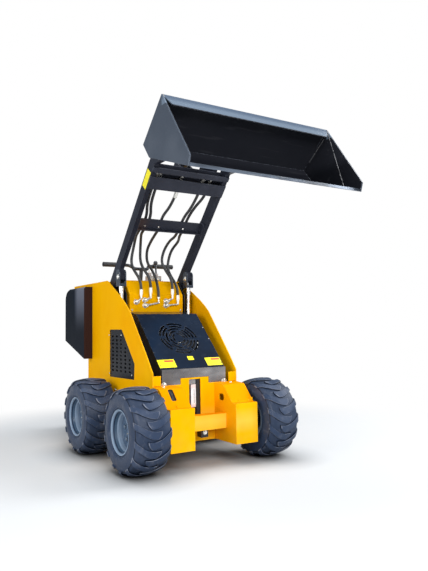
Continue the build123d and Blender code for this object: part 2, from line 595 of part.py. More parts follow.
# ---- hoses ----------------------------------------------------------------------------------
# Routes between riser and arm as (x, y, z), for the five ports in order
HOSE_ROUTES = [
    [(-168, 243, 1145), (-156, 295, 1204), (-140, 294, 1282), (-147, 244, 1344),
     (-176, 159, 1359), (-174, 85, 1397), (-167, 32, 1456), (-195, -28, 1513)],
    [(-100, 248, 1159), (-95, 288, 1215), (-93, 287, 1284), (-109, 244, 1344),
     (-146, 158, 1366), (-146, 88, 1391), (-140, 31, 1456), (-170, -27, 1513)],
    [(-2, 283, 1135), (-37, 306, 1193), (-44, 295, 1273), (-41, 242, 1324),
     (-51, 157, 1360), (-56, 86, 1390), (-61, 36, 1456), (-39, -32, 1510)],
    [(70, 237, 1135), (63, 296, 1201), (85, 298, 1283), (101, 241, 1343),
     (95, 156, 1356), (84, 86, 1394), (91, 27, 1465), (106, -31, 1509)],
    [(95, 248, 1125), (121, 316, 1191), (144, 306, 1286), (160, 226, 1339),
     (123, 152, 1358), (115, 83, 1393), (121, 29, 1465), (131, -43, 1521)],
]
HOSE_LEAD = 62.0              # straight stretch out of each fitting


def hose(number, route):
    """One hose: straight runs joined by arcs as large as the runs allow."""
    low, start = riser_ends(PORTS[number])
    end = Vector(HOSE_TOP_X[number], *on_arm(HOSE_END_S, HOSE_END_T))
    before_end = Vector(HOSE_TOP_X[number], *on_arm(HOSE_END_S - HOSE_LEAD, HOSE_END_T))
    after_start = start + (start - low).normalized() * HOSE_LEAD
    points = [start, after_start, *[Vector(*p) for p in route], before_end, end]
    radii = []
    for before, corner, after in zip(points, points[1:], points[2:]):
        turn = (corner - before).get_angle(after - corner)
        shorter = min((corner - before).length, (after - corner).length)
        radii.append(0.45 * shorter / tan(radians(turn) / 2))
    path = FilletPolyline(*points, radius=radii)
    tube = sweep(Plane(origin=start, z_dir=after_start - start) * Circle(HOSE_RADIUS), path=path)
    filled = tube.volume / (path.length * pi * HOSE_RADIUS ** 2)
    print(f"hose_{number + 1}: length {path.length:.0f}, radii", [round(r) for r in radii],
          f"volume over section times length {filled:.4f}")
    print("   route", [tuple(round(v, 1) for v in p) for p in points])
    save(f"hose_{number + 1}", tube)


# ---- build ----------------------------------------------------------------------------------
os.makedirs("parts", exist_ok=True)
wheels()
wheel_motors()
towers()
arm_channels()
bulkheads()
front_frame()
hood()
upper_body()
controls()
level_gauge()
hydraulic_fittings()
lift_arms()
arm_services()
lift_cylinders()
tilt_cylinder()
bucket()
quick_attach()
platform()
for hose_number, hose_route in enumerate(HOSE_ROUTES):
    hose(hose_number, hose_route)
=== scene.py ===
import math

import bmesh
import bpy
from mathutils import Matrix, Vector


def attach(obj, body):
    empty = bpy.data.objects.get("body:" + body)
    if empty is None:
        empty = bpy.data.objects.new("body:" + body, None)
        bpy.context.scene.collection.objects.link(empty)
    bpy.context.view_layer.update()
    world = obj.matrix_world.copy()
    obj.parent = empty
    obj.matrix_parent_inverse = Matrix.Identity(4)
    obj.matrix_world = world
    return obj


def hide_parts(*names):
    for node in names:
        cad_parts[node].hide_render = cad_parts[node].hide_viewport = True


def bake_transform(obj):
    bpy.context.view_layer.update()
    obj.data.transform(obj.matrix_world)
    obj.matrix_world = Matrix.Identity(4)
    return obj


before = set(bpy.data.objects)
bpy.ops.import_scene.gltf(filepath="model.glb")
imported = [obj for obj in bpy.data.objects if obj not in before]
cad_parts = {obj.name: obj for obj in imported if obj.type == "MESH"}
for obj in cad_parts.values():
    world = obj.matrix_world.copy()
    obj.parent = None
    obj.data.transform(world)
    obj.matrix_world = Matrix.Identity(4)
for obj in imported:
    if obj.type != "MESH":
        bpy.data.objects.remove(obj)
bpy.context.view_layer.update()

# ---- camera ---------------------------------------------------------------------------------
# A view from the front right, about waist high and tipped up a little towards the raised
# bucket.
camera_data = bpy.data.cameras.new("camera")
camera_data.lens = 37.34
camera_data.sensor_width = 36.0
camera = bpy.data.objects.new("camera", camera_data)
bpy.context.collection.objects.link(camera)
camera_yaw, camera_pitch, camera_roll = (math.radians(angle) for angle in (32.30, 3.84, -0.84))
camera.matrix_world = (
    Matrix.Translation((-1.749, -3.325, 0.775)) @ Matrix.Rotation(-camera_yaw, 4, "Z")
    @ Matrix.Rotation(math.pi / 2 + camera_pitch, 4, "X") @ Matrix.Rotation(camera_roll, 4, "Z"))
bpy.context.scene.camera = camera
bpy.context.scene.view_settings.view_transform = "Standard"

# ---- studio ---------------------------------------------------------------------------------
# A white room under a soft, slightly blue sky, with broad lamps in front, overhead and at each
# side, and a pale floor that keeps the machine's shadow, carries painted shade close around what
# stands on it, and fades to white away from it.
SKY_LEVEL = 0.46
SKY_TINT = (0.86, 0.93, 1.0)
LAMPS = {
    # name: where it hangs, what it points at, width, power
    "front_softbox": ((-0.9, -5.1, 2.9), (0.0, -0.2, 0.8), 3.0, 290.0),
    "side_softbox": ((-5.0, -0.9, 1.9), (0.0, 0.1, 0.8), 2.6, 112.0),
    "far_side_softbox": ((4.4, -1.0, 3.6), (0.0, 0.0, 0.4), 2.8, 215.0),
    "top_softbox": ((-0.3, 0.5, 5.4), (0.0, 0.1, 0.8), 2.4, 95.0),
}
FLOOR_COLOUR = (0.60, 0.61, 0.62)
FLOOR_PAINTED_SHADE_REACH = 0.26       # painted shade: the floor is darker within this distance of what stands on it
FLOOR_SHADED_TO, FLOOR_WHITE_FROM = 1.4, 2.6   # distance from the machine's middle


def shader_of(material):
    """The shader that carries a finish's plain values."""
    return material.node_tree.nodes["Principled BSDF"]


def new_finish(name, colour, roughness, metallic=0.0, specular=0.5):
    """A material whose plain values sit on its own shader."""
    material = bpy.data.materials.new(name)
    material.use_nodes = True
    inputs = shader_of(material).inputs
    inputs["Base Color"].default_value = (*colour, 1.0)
    inputs["Roughness"].default_value = roughness
    inputs["Metallic"].default_value = metallic
    inputs["Specular IOR Level"].default_value = specular
    return material


def add_node(owner, kind, inputs=None, **settings):
    """One node of a finish or of the sky, with its inputs set or linked by name or number."""
    tree = owner.node_tree
    made = tree.nodes.new(kind)
    for setting, value in settings.items():
        setattr(made, setting, value)
    for socket, value in (inputs or {}).items():
        if isinstance(value, bpy.types.NodeSocket):
            tree.links.new(value, made.inputs[socket])
        else:
            made.inputs[socket].default_value = value
    return made


def ramp(material, value, low, high, start=0.0, end=1.0, kind="LINEAR"):
    """A value stretched so that low comes out as the start and high as the end."""
    return add_node(material, "ShaderNodeMapRange",
                    {"Value": value, "From Min": low, "From Max": high, "To Min": start, "To Max": end},
                    interpolation_type=kind).outputs["Result"]


def both_masks(material, first, second):
    """A mask that is 1 where both of the others are."""
    return add_node(material, "ShaderNodeMath", {0: first, 1: second}, operation="MULTIPLY").outputs[0]


def own_place(material):
    """Where a point of the piece is, in the piece's own coordinates."""
    return add_node(material, "ShaderNodeTexCoord").outputs["Object"]


world = bpy.data.worlds.new("studio")
bpy.context.scene.world = world
world.use_nodes = True
sky_nodes = world.node_tree.nodes
room_light = sky_nodes["Background"]
room_light.inputs["Color"].default_value = (*SKY_TINT, 1.0)
room_light.inputs["Strength"].default_value = SKY_LEVEL
white_wall = add_node(world, "ShaderNodeBackground", {"Color": (1.0, 1.0, 1.0, 1.0)})
camera_ray = add_node(world, "ShaderNodeLightPath").outputs["Is Camera Ray"]
sky_mix = add_node(world, "ShaderNodeMixShader",
                   {"Fac": camera_ray, 1: room_light.outputs[0], 2: white_wall.outputs[0]})
world.node_tree.links.new(sky_mix.outputs[0], sky_nodes["World Output"].inputs["Surface"])

for lamp_name, (lamp_place, lamp_target, lamp_width, lamp_power) in LAMPS.items():
    lamp_data = bpy.data.lights.new(lamp_name, "AREA")
    lamp_data.size = lamp_width
    lamp_data.energy = lamp_power
    lamp = bpy.data.objects.new(lamp_name, lamp_data)
    aim = Vector(lamp_target) - Vector(lamp_place)
    lamp.matrix_world = Matrix.Translation(lamp_place) @ aim.to_track_quat("-Z", "Y").to_matrix().to_4x4()
    bpy.context.collection.objects.link(lamp)

floor_shape = bmesh.new()
bmesh.ops.create_grid(floor_shape, x_segments=1, y_segments=1, size=30.0)
floor_mesh = bpy.data.meshes.new("floor")
floor_shape.to_mesh(floor_mesh)
floor_shape.free()
floor = bpy.data.objects.new("floor", floor_mesh)
bpy.context.collection.objects.link(floor)
floor_paint = new_finish("floor_paint", FLOOR_COLOUR, 0.9, specular=0.1)
floor_links = floor_paint.node_tree.links
# Painted shade: the floor's colour darkens close to what stands on it.
floor_painted_shade = add_node(floor_paint, "ShaderNodeAmbientOcclusion",
                        {"Distance": FLOOR_PAINTED_SHADE_REACH, "Color": (*FLOOR_COLOUR, 1.0)}, samples=8)
floor_links.new(floor_painted_shade.outputs["Color"], shader_of(floor_paint).inputs["Base Color"])
distance = add_node(floor_paint, "ShaderNodeVectorMath", {0: own_place(floor_paint)}, operation="LENGTH")
away = ramp(floor_paint, distance.outputs["Value"], FLOOR_SHADED_TO, FLOOR_WHITE_FROM, kind="SMOOTHSTEP")
floor_ray = add_node(floor_paint, "ShaderNodeLightPath").outputs
floor_seen = add_node(floor_paint, "ShaderNodeMath",
                      {0: floor_ray["Is Camera Ray"], 1: floor_ray["Is Glossy Ray"]}, operation="MAXIMUM")
floor_white = add_node(floor_paint, "ShaderNodeEmission")
floor_mix = add_node(floor_paint, "ShaderNodeMixShader",
                     {"Fac": both_masks(floor_paint, away, floor_seen.outputs[0]),
                      1: shader_of(floor_paint).outputs[0], 2: floor_white.outputs[0]})
floor_links.new(floor_mix.outputs[0], floor_paint.node_tree.nodes["Material Output"].inputs["Surface"])
floor_mesh.materials.append(floor_paint)

# ---- hydraulic hoses ------------------------------------------------------------------------
# Five rubber hoses, 18 mm over the cover, rise from the panel, bow back behind the arms, pass
# behind the lower cross bar and end behind the upper front plate.  Each end is crimped.
HOSE_DIAMETER = 0.018
HOSE_BLACK = (0.020, 0.021, 0.024)
HOSE_SHEEN = 0.42
HOSE_STEPS = 10                 # segments of the spline between two route points
HOSE_ROUTES = {
    # hose: its length, then its route from the riser on the panel to the fitting on the arms
    "hose_1": (0.887, [
        (-0.124, 0.117, 1.004), (-0.124, 0.117, 1.066), (-0.168, 0.148, 1.145), (-0.156, 0.200, 1.204),
        (-0.140, 0.199, 1.282), (-0.147, 0.149, 1.344), (-0.176, 0.064, 1.359), (-0.174, -0.010, 1.397),
        (-0.167, -0.063, 1.456), (-0.195, -0.123, 1.513), (-0.207, -0.2041, 1.5789),
        (-0.207, -0.2456, 1.625)]),
    "hose_2": (0.871, [
        (-0.057, 0.117, 1.017), (-0.057, 0.117, 1.079), (-0.100, 0.153, 1.159), (-0.095, 0.193, 1.215),
        (-0.093, 0.192, 1.284), (-0.109, 0.149, 1.344), (-0.146, 0.063, 1.366), (-0.146, -0.007, 1.391),
        (-0.140, -0.064, 1.456), (-0.170, -0.122, 1.513), (-0.183, -0.2041, 1.5789),
        (-0.183, -0.2456, 1.625)]),
    "hose_3": (0.915, [
        (0.000, 0.117, 0.963), (0.000, 0.117, 1.025), (-0.002, 0.188, 1.135), (-0.037, 0.211, 1.193),
        (-0.044, 0.200, 1.273), (-0.041, 0.147, 1.324), (-0.051, 0.062, 1.360), (-0.056, -0.009, 1.390),
        (-0.061, -0.059, 1.456), (-0.039, -0.127, 1.510), (-0.038, -0.2041, 1.5789),
        (-0.038, -0.2456, 1.625)]),
    "hose_4": (0.878, [
        (0.102, 0.117, 1.011), (0.102, 0.117, 1.073), (0.070, 0.142, 1.135), (0.063, 0.201, 1.201),
        (0.085, 0.203, 1.283), (0.101, 0.146, 1.343), (0.095, 0.061, 1.356), (0.084, -0.009, 1.394),
        (0.091, -0.068, 1.465), (0.106, -0.126, 1.509), (0.113, -0.2041, 1.5789),
        (0.113, -0.2456, 1.625)]),
    "hose_5": (0.941, [
        (0.142, 0.117, 0.971), (0.142, 0.117, 1.033), (0.095, 0.153, 1.125), (0.121, 0.221, 1.191),
        (0.144, 0.211, 1.286), (0.160, 0.131, 1.339), (0.123, 0.057, 1.358), (0.115, -0.012, 1.393),
        (0.121, -0.066, 1.465), (0.131, -0.138, 1.521), (0.163, -0.2041, 1.5789),
        (0.163, -0.2456, 1.625)]),
}


def cloudy(material, scale, low, high, detail=3.0, stretch=(1.0, 1.0, 1.0)):
    """A soft mask from 0 to 1 that drifts over the piece, in the piece's own coordinates."""
    turned = add_node(material, "ShaderNodeMapping", {"Vector": own_place(material), "Scale": stretch})
    noise = add_node(material, "ShaderNodeTexNoise",
                     {"Vector": turned.outputs[0], "Scale": scale, "Detail": detail})
    return ramp(material, noise.outputs["Fac"], low, high, kind="SMOOTHSTEP")


def lay_over(material, mask, colour, amount=1.0):
    """Lays a second colour over the first where the mask is, as strongly as the amount says."""
    base = shader_of(material).inputs["Base Color"]
    under = base.links[0].from_socket if base.is_linked else tuple(base.default_value)
    mix = add_node(material, "ShaderNodeMix",
                   {0: both_masks(material, mask, amount), 6: under, 7: (*colour, 1.0)}, data_type="RGBA")
    material.node_tree.links.new(mix.outputs[2], base)


def uneven_gloss(material, mask, low, high):
    """Roughness that goes from low to high with the mask."""
    material.node_tree.links.new(ramp(material, mask, 0.0, 1.0, low, high),
                                 shader_of(material).inputs["Roughness"])


def grain(material, height, depth, strength=1.0):
    """Fine relief: the height socket's pattern, this many metres deep, over any relief so far."""
    links, normal = material.node_tree.links, shader_of(material).inputs["Normal"]
    bump = add_node(material, "ShaderNodeBump", {"Height": height, "Distance": depth, "Strength": strength})
    if normal.is_linked:
        links.new(normal.links[0].from_socket, bump.inputs["Normal"])
    links.new(bump.outputs["Normal"], normal)


def hose_cover():
    """Black rubber cover: satin, with a faint cloth imprint and dull rubbed patches."""
    cover = new_finish("hose_cover", HOSE_BLACK, HOSE_SHEEN)
    rubbed = cloudy(cover, 22.0, 0.42, 0.66)
    lay_over(cover, rubbed, (0.055, 0.056, 0.060), 0.6)
    uneven_gloss(cover, rubbed, 0.36, 0.58)
    grain(cover, cloudy(cover, 900.0, 0.3, 0.7, detail=1.0), 0.0003)
    return cover


def hose_line(name, route):
    """The smooth line of one hose, as a spline that its route's points steer."""
    curve = bpy.data.curves.new(name, "CURVE")
    curve.dimensions = "3D"
    curve.resolution_u = HOSE_STEPS
    spline = curve.splines.new("NURBS")
    spline.points.add(len(route) - 1)
    for point, place in zip(spline.points, route):
        point.co = (*place, 1.0)
    spline.order_u = 3
    spline.use_endpoint_u = True
    return curve


def curve_mesh(curve):
    """The mesh that a curve makes."""
    holder = bpy.data.objects.new(curve.name, curve)
    bpy.context.collection.objects.link(holder)
    bpy.context.view_layer.update()
    mesh = bpy.data.meshes.new_from_object(holder.evaluated_get(bpy.context.evaluated_depsgraph_get()))
    bpy.data.objects.remove(holder)
    return mesh


hose_finish = hose_cover()
for hose_name, (hose_length, hose_route) in HOSE_ROUTES.items():
    hose_curve = hose_line(hose_name + "_line", hose_route)
    hose_path = [tuple(vertex.co) for vertex in curve_mesh(hose_curve).vertices]
    hose_curve.bevel_depth = HOSE_DIAMETER / 2
    hose_curve.bevel_resolution = 4
    hose_curve.use_fill_caps = True
    hose_mesh = curve_mesh(hose_curve)
    hose_mesh.name = hose_name + "_rubber"
    hose_mesh.materials.clear()
    hose_mesh.materials.append(hose_finish)
    hose_mesh.shade_smooth()
    hose_piece = bpy.data.objects.new(hose_name + "_rubber", hose_mesh)
    bpy.context.collection.objects.link(hose_piece)
    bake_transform(hose_piece)
    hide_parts(hose_name)

# ---- tyres ----------------------------------------------------------------------------------
# Four wide rubber tyres, 457 mm over the tread.  Curved bars run in from each shoulder in turn,
# reach past the middle and end there in a rounded hook, with narrow grooves between them.
WHEEL_CENTRES = {
    # wheel: its middle, and which way its outer side faces
    "front_right": ((-0.414, -0.432, 0.2285), -1),
    "front_left": ((0.414, -0.432, 0.2285), 1),
    "rear_right": ((-0.414, 0.242, 0.2285), -1),
    "rear_left": ((0.414, 0.242, 0.2285), 1),
}
ROLLED = {"front_right": 0.0, "front_left": 0.0, "rear_right": 0.20, "rear_left": 0.31}   # radians
CROWN_RADIUS = 0.2195           # carcass under the lugs, at its middle
CROWN_DROP = 0.008              # how much lower the carcass is where the shoulder starts
SHOULDER_START = 0.076          # half width of the crown
SHOULDER_RADIUS = 0.024
SHOULDER_TURN = 1.32            # how far round the shoulder a lug reaches, in radians
CROWN_POINTS, SHOULDER_POINTS = 5, 6    # steps of the section across half the crown, and round a shoulder
SIDE_WALL = [(0.1035, 0.170), (0.1050, 0.152), (0.1030, 0.136), (0.0995, 0.1275), (0.1010, 0.1245),
             (0.0985, 0.1215), (0.0930, 0.1180), (0.0885, 0.1120), (0.0880, 0.1035)]
TYRE_STEPS = 108
SMOOTH_UNDER = math.radians(35.0)       # a piece is shaded smooth across edges that bend less
LUGS_A_SIDE = 14
LUG_HEIGHT, LUG_ROOT = 0.0095, 0.002    # above and below the carcass
LUG_WALL, LUG_CHAMFER = 0.72, 0.10      # parts of a flat lug: where its chamfer starts, and how wide it is
LUG_THINNING = 0.25             # how much lower a lug is at its shoulder end
SHOULDER_WEAR = 0.8             # the side walls take the tone of this much of a lug
LUG_TIP = -0.041                # how far past the middle a lug reaches
HOOK_CUT = 0.026                # how much the lower corner of its tip is rounded off
LUG_SWEEP = 0.036               # how far its shoulder end runs ahead of its lowest point
SWEEP_MIDDLE = -0.015
HALF_LUG, HALF_LUG_SHOULDER = 0.0196, 0.0172
FIRST_LUG = 0.0035
RUBBER = (0.022, 0.037, 0.074)
LUG_SIDE_PAINTED_SHADE = (0.002, 0.003, 0.006)
RUBBER_DUST = (0.068, 0.088, 0.136)
RUBBED_EDGE_AND_HIGHLIGHT = (0.26, 0.27, 0.31)


def crown_height(across):
    """Radius of the carcass at a place across its crown."""
    return CROWN_RADIUS - CROWN_DROP * (across / SHOULDER_START) ** 2


def tread_point(across, along, height):
    """The place of a point on the tread, given across it, along its rim and above the carcass."""
    side = math.copysign(1.0, across)
    past = abs(across) - SHOULDER_START
    if past <= 0:
        x, radius = across, crown_height(across) + height
    else:
        turn = past / SHOULDER_RADIUS
        reach = SHOULDER_RADIUS + height * (1.0 - LUG_THINNING * turn / SHOULDER_TURN)
        x = side * (SHOULDER_START + reach * math.sin(turn))
        radius = CROWN_RADIUS - CROWN_DROP - SHOULDER_RADIUS + reach * math.cos(turn)
    angle = along / CROWN_RADIUS
    return Vector((x, -radius * math.cos(angle), radius * math.sin(angle)))


def flat_lug():
    """One lug laid flat: a grid raised to a block whose top edge is chamfered."""
    lug = bmesh.new()
    bmesh.ops.create_grid(lug, x_segments=18, y_segments=4, size=1.0)
    raised = bmesh.ops.extrude_face_region(lug, geom=lug.faces[:], use_keep_orig=True)
    top = [element for element in raised["geom"] if isinstance(element, bmesh.types.BMFace)]
    top_verts = {vert for face in top for vert in face.verts}
    bmesh.ops.translate(lug, vec=(0, 0, LUG_WALL), verts=list(top_verts))
    bmesh.ops.inset_region(lug, faces=top, thickness=LUG_CHAMFER, depth=0.0)
    for vert in {vert for face in top for vert in face.verts}:
        vert.co.z = 1.0
    return lug


def lug_place(flat, side, start):
    """Bends one point of a flat lug onto its place on the tread."""
    heel = SHOULDER_START + SHOULDER_RADIUS * SHOULDER_TURN
    tip = LUG_TIP + HOOK_CUT * ((1.0 - flat.y) / 2.0) ** 2.4
    across = tip + (heel - tip) * (flat.x + 1.0) / 2.0
    half_width = HALF_LUG + (HALF_LUG_SHOULDER - HALF_LUG) * max(0.0, across) / heel
    middle = LUG_SWEEP * ((across - SWEEP_MIDDLE) / (SHOULDER_START - SWEEP_MIDDLE)) ** 2
    height = LUG_HEIGHT * flat.z if flat.z > 0 else -LUG_ROOT
    return tread_point(side * across, start + middle + flat.y * half_width, height)


def spun_ring(outline, steps):
    """A closed outline of points, each outward and radius, spun once round the X axis."""
    spun = bmesh.new()
    verts = [spun.verts.new((outward, 0.0, radius)) for outward, radius in outline]
    edges = [spun.edges.new(pair) for pair in zip(verts, verts[1:] + verts[:1])]
    bmesh.ops.spin(spun, geom=verts + edges, axis=(1, 0, 0), cent=(0, 0, 0), dvec=(0, 0, 0),
                   angle=math.tau, steps=steps, use_merge=True)
    return spun


def tyre_shape():
    """A whole tyre about the X axis: the carcass spun round, and the lugs laid on it."""
    crown = [SHOULDER_START * step / CROWN_POINTS for step in range(CROWN_POINTS + 1)]
    section = [(outward, crown_height(outward)) for outward in crown]
    for step in range(1, SHOULDER_POINTS + 1):
        turn = math.pi / 2 * step / SHOULDER_POINTS
        section.append((SHOULDER_START + SHOULDER_RADIUS * math.sin(turn),
                        CROWN_RADIUS - CROWN_DROP - SHOULDER_RADIUS * (1 - math.cos(turn))))
    section += SIDE_WALL
    tyre = spun_ring([(-x, radius) for x, radius in reversed(section)] + section[1:], TYRE_STEPS)
    on_lug = tyre.verts.layers.float.new("lug_top")
    pitch = math.tau * CROWN_RADIUS / LUGS_A_SIDE
    lug = flat_lug()
    lug.verts.index_update()
    for side in (-1, 1):
        for index in range(LUGS_A_SIDE):
            start = FIRST_LUG + pitch * (index + (0.5 if side > 0 else 0.0))
            laid = [tyre.verts.new(lug_place(vert.co, side, start)) for vert in lug.verts]
            for vert, flat in zip(laid, lug.verts):
                vert[on_lug] = max(0.0, flat.co.z)
            for face in lug.faces:
                tyre.faces.new([laid[vert.index] for vert in face.verts])
    lug.free()
    side_start = SHOULDER_START + SHOULDER_RADIUS - 0.003
    for vert in tyre.verts:
        if abs(vert.co.x) > side_start:
            vert[on_lug] = max(vert[on_lug], SHOULDER_WEAR)
    return tyre


def fit_piece(name, shape, material, body):
    """Turns a bmesh into a piece with its finish, with crisp edges, riding on its body."""
    bmesh.ops.recalc_face_normals(shape, faces=shape.faces)
    mesh = bpy.data.meshes.new(name)
    shape.to_mesh(mesh)
    shape.free()
    mesh.materials.append(material)
    mesh.shade_smooth()
    mesh.set_sharp_from_angle(angle=SMOOTH_UNDER)
    made = bpy.data.objects.new(name, mesh)
    bpy.context.collection.objects.link(made)
    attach(made, body)
    return made


def near_value(material, value, middle, full, none):
    """A mask that is 1 where a value is close to the middle one, and 0 where it is far from it."""
    gap = add_node(material, "ShaderNodeMath", {0: value, 1: middle}, operation="SUBTRACT")
    size = add_node(material, "ShaderNodeMath", {0: gap.outputs[0]}, operation="ABSOLUTE")
    return ramp(material, size.outputs[0], full, none, 1.0, 0.0)


def painted_mask(material, layer):
    """A mask that the piece's mesh carries."""
    return add_node(material, "ShaderNodeAttribute", attribute_name=layer).outputs["Fac"]


def tyre_rubber():
    """Blue-black rubber: painted shade down the sides of the lugs, paler chamfers that are rubbed and carry
    a painted highlight, and dust in patches.
    """
    rubber = new_finish("tyre_rubber", RUBBER, 0.5, specular=0.20)
    lug_top = painted_mask(rubber, "lug_top")       # 0 on the carcass, 1 on top of a lug
    dusty = cloudy(rubber, 7.0, 0.42, 0.72, detail=5.0)
    lay_over(rubber, dusty, RUBBER_DUST, 0.55)
    scuffed = cloudy(rubber, 45.0, 0.56, 0.70, detail=3.0, stretch=(1.0, 0.6, 0.6))
    lay_over(rubber, scuffed, (0.15, 0.16, 0.20), 0.20)
    # Rubbed rubber and a painted highlight along the lug chamfers.
    chamfer = near_value(rubber, lug_top, 0.90, 0.03, 0.09)
    lay_over(rubber, both_masks(rubber, chamfer, cloudy(rubber, 24.0, 0.36, 0.60)), RUBBED_EDGE_AND_HIGHLIGHT, 0.75)
    # Painted shade down the sides of the lugs.
    lay_over(rubber, near_value(rubber, lug_top, 0.36, 0.22, 0.40), LUG_SIDE_PAINTED_SHADE, 0.95)
    uneven_gloss(rubber, dusty, 0.34, 0.60)
    grain(rubber, cloudy(rubber, 350.0, 0.3, 0.7), 0.0006, 0.6)
    return rubber


rubber_finish = tyre_rubber()
for wheel, (centre, outward) in WHEEL_CENTRES.items():
    tyre = tyre_shape()
    turned = Matrix.Rotation(ROLLED[wheel], 4, "X")
    bmesh.ops.transform(tyre, matrix=Matrix.Translation(centre) @ turned, verts=tyre.verts)
    tyre_piece = fit_piece(f"tread_{wheel}", tyre, rubber_finish, f"wheel_{wheel}")
    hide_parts(f"tyre_{wheel}")

# ---- rims -----------------------------------------------------------------------------------
# Pressed steel rims in pale blue-grey paint: a rolled lip, a bead seat, a step and a flat disc
# that five nuts hold on the hub.  The tyre's valve stands in the well.
RIM_PAINT = (0.205, 0.275, 0.375)
DISC_PAINTED_SHADE = (0.060, 0.100, 0.165)
WELL_PAINTED_SHADE = (0.045, 0.085, 0.14)
# Section from the outer lip to the hub and on to the inner lip: outward from the middle, radius
RIM_SECTION = [
    (0.0945, 0.1175), (0.0970, 0.1180), (0.0985, 0.1160), (0.0980, 0.1125), (0.0940, 0.1085),
    (0.0880, 0.1050), (0.0800, 0.1030), (0.0700, 0.1018), (0.0665, 0.1000), (0.0655, 0.0960),
    (0.0640, 0.0935), (0.0520, 0.0905), (0.0450, 0.0885), (0.0415, 0.0850), (0.0395, 0.0780),
    (0.0385, 0.0600), (0.0385, 0.0410), (0.0400, 0.0385), (0.0430, 0.0370), (0.0440, 0.0340),
    (0.0440, 0.0120), (0.0438, 0.0000)]
RIM_BACK = [(0.0060, 0.0000), (0.0060, 0.0780), (0.0240, 0.0860), (0.0420, 0.0890), (0.0600, 0.0935),
            (-0.0900, 0.0940), (-0.0975, 0.1160), (-0.0945, 0.1175), (-0.0880, 0.1040), (0.0800, 0.1045),
            (0.0900, 0.1120)]
WELL_BAND, WELL_WITHIN = (0.068, 0.090), 0.106   # the bead seat under painted shade: outward from and to, its radius
DISC_FROM, DISC_WITHIN = 0.047, 0.0890           # the disc lies inward of this and inside this radius
RIM_STEPS = 96
DISC_FACE = 0.0382
NUTS, NUT_CIRCLE, FIRST_NUT = 5, 0.054, 0.3
NUT_ACROSS, NUT_HEIGHT = 0.019, 0.011
VALVE_RADIUS_AT, VALVE_TURN = 0.086, 0.06
VALVE_STEPS = [(0.052, 0.074, 0.0062), (0.074, 0.088, 0.0050), (0.088, 0.092, 0.0036)]  # from, to, radius


def point_along(place, axis):
    """The matrix that puts a shape's own +Z along an axis, at a place."""
    return Matrix.Translation(place) @ Vector(axis).to_track_quat("Z", "Y").to_matrix().to_4x4()


def add_turned(shape, at, low, high, radius, top_radius, segments):
    """Adds a round or many-sided block on a frame's +Z, between two heights; returns its points."""
    made = bmesh.ops.create_cone(shape, cap_ends=True, segments=segments, radius1=radius, radius2=top_radius,
                                 depth=high - low, matrix=at @ Matrix.Translation((0, 0, (low + high) / 2)))
    return made["verts"]


def add_nut(shape, place, axis, across, height):
    """Adds a hexagon nut or bolt head with a washer under it, standing on a face."""
    at = point_along(place, axis)
    for low, high, radius, top_radius, sides in (
            (0.0, 0.18, 0.72, 0.70, 20), (0.15, 0.85, 0.577, 0.577, 6), (0.85, 1.0, 0.50, 0.40, 12)):
        add_turned(shape, at, low * height, high * height, radius * across, top_radius * across, sides)


def rim_shape():
    """One rim about the X axis, its outer side towards +X."""
    rim = spun_ring(RIM_SECTION + RIM_BACK, RIM_STEPS)
    bmesh.ops.remove_doubles(rim, verts=rim.verts, dist=0.00005)
    well = rim.verts.layers.float.new("well")
    disc = rim.verts.layers.float.new("disc")
    for vert in rim.verts:
        around = math.hypot(vert.co.y, vert.co.z)
        vert[well] = 1.0 if WELL_BAND[0] < vert.co.x < WELL_BAND[1] and around < WELL_WITHIN else 0.0
        vert[disc] = 1.0 if vert.co.x < DISC_FROM and around < DISC_WITHIN else 0.0
    return rim


def rim_paint():
    """Pale blue-grey enamel with a soft shine; the recessed disc and the well carry painted shade."""
    paint = new_finish("rim_enamel", RIM_PAINT, 0.30, specular=0.25)
    dusty = cloudy(paint, 14.0, 0.45, 0.75)
    lay_over(paint, dusty, (0.15, 0.19, 0.25), 0.45)
    # Painted shade in the well and over the recessed disc.
    for layer, tone in (("well", WELL_PAINTED_SHADE), ("disc", DISC_PAINTED_SHADE)):
        lay_over(paint, painted_mask(paint, layer), tone, 0.92)
    lay_over(paint, cloudy(paint, 40.0, 0.58, 0.80), (0.30, 0.34, 0.38), 0.12)
    uneven_gloss(paint, dusty, 0.26, 0.46)
    grain(paint, cloudy(paint, 260.0, 0.3, 0.7), 0.0002, 0.5)
    return paint


def bright_zinc():
    """Zinc-plated steel of nuts, bolts and fittings: pale, a little yellow, finely scratched."""
    zinc = new_finish("bright_zinc", (0.78, 0.77, 0.73), 0.26, metallic=0.92)
    stained = cloudy(zinc, 70.0, 0.40, 0.72)
    lay_over(zinc, stained, (0.56, 0.53, 0.46), 0.6)
    uneven_gloss(zinc, stained, 0.20, 0.42)
    grain(zinc, cloudy(zinc, 600.0, 0.3, 0.7), 0.0002, 0.5)
    return zinc


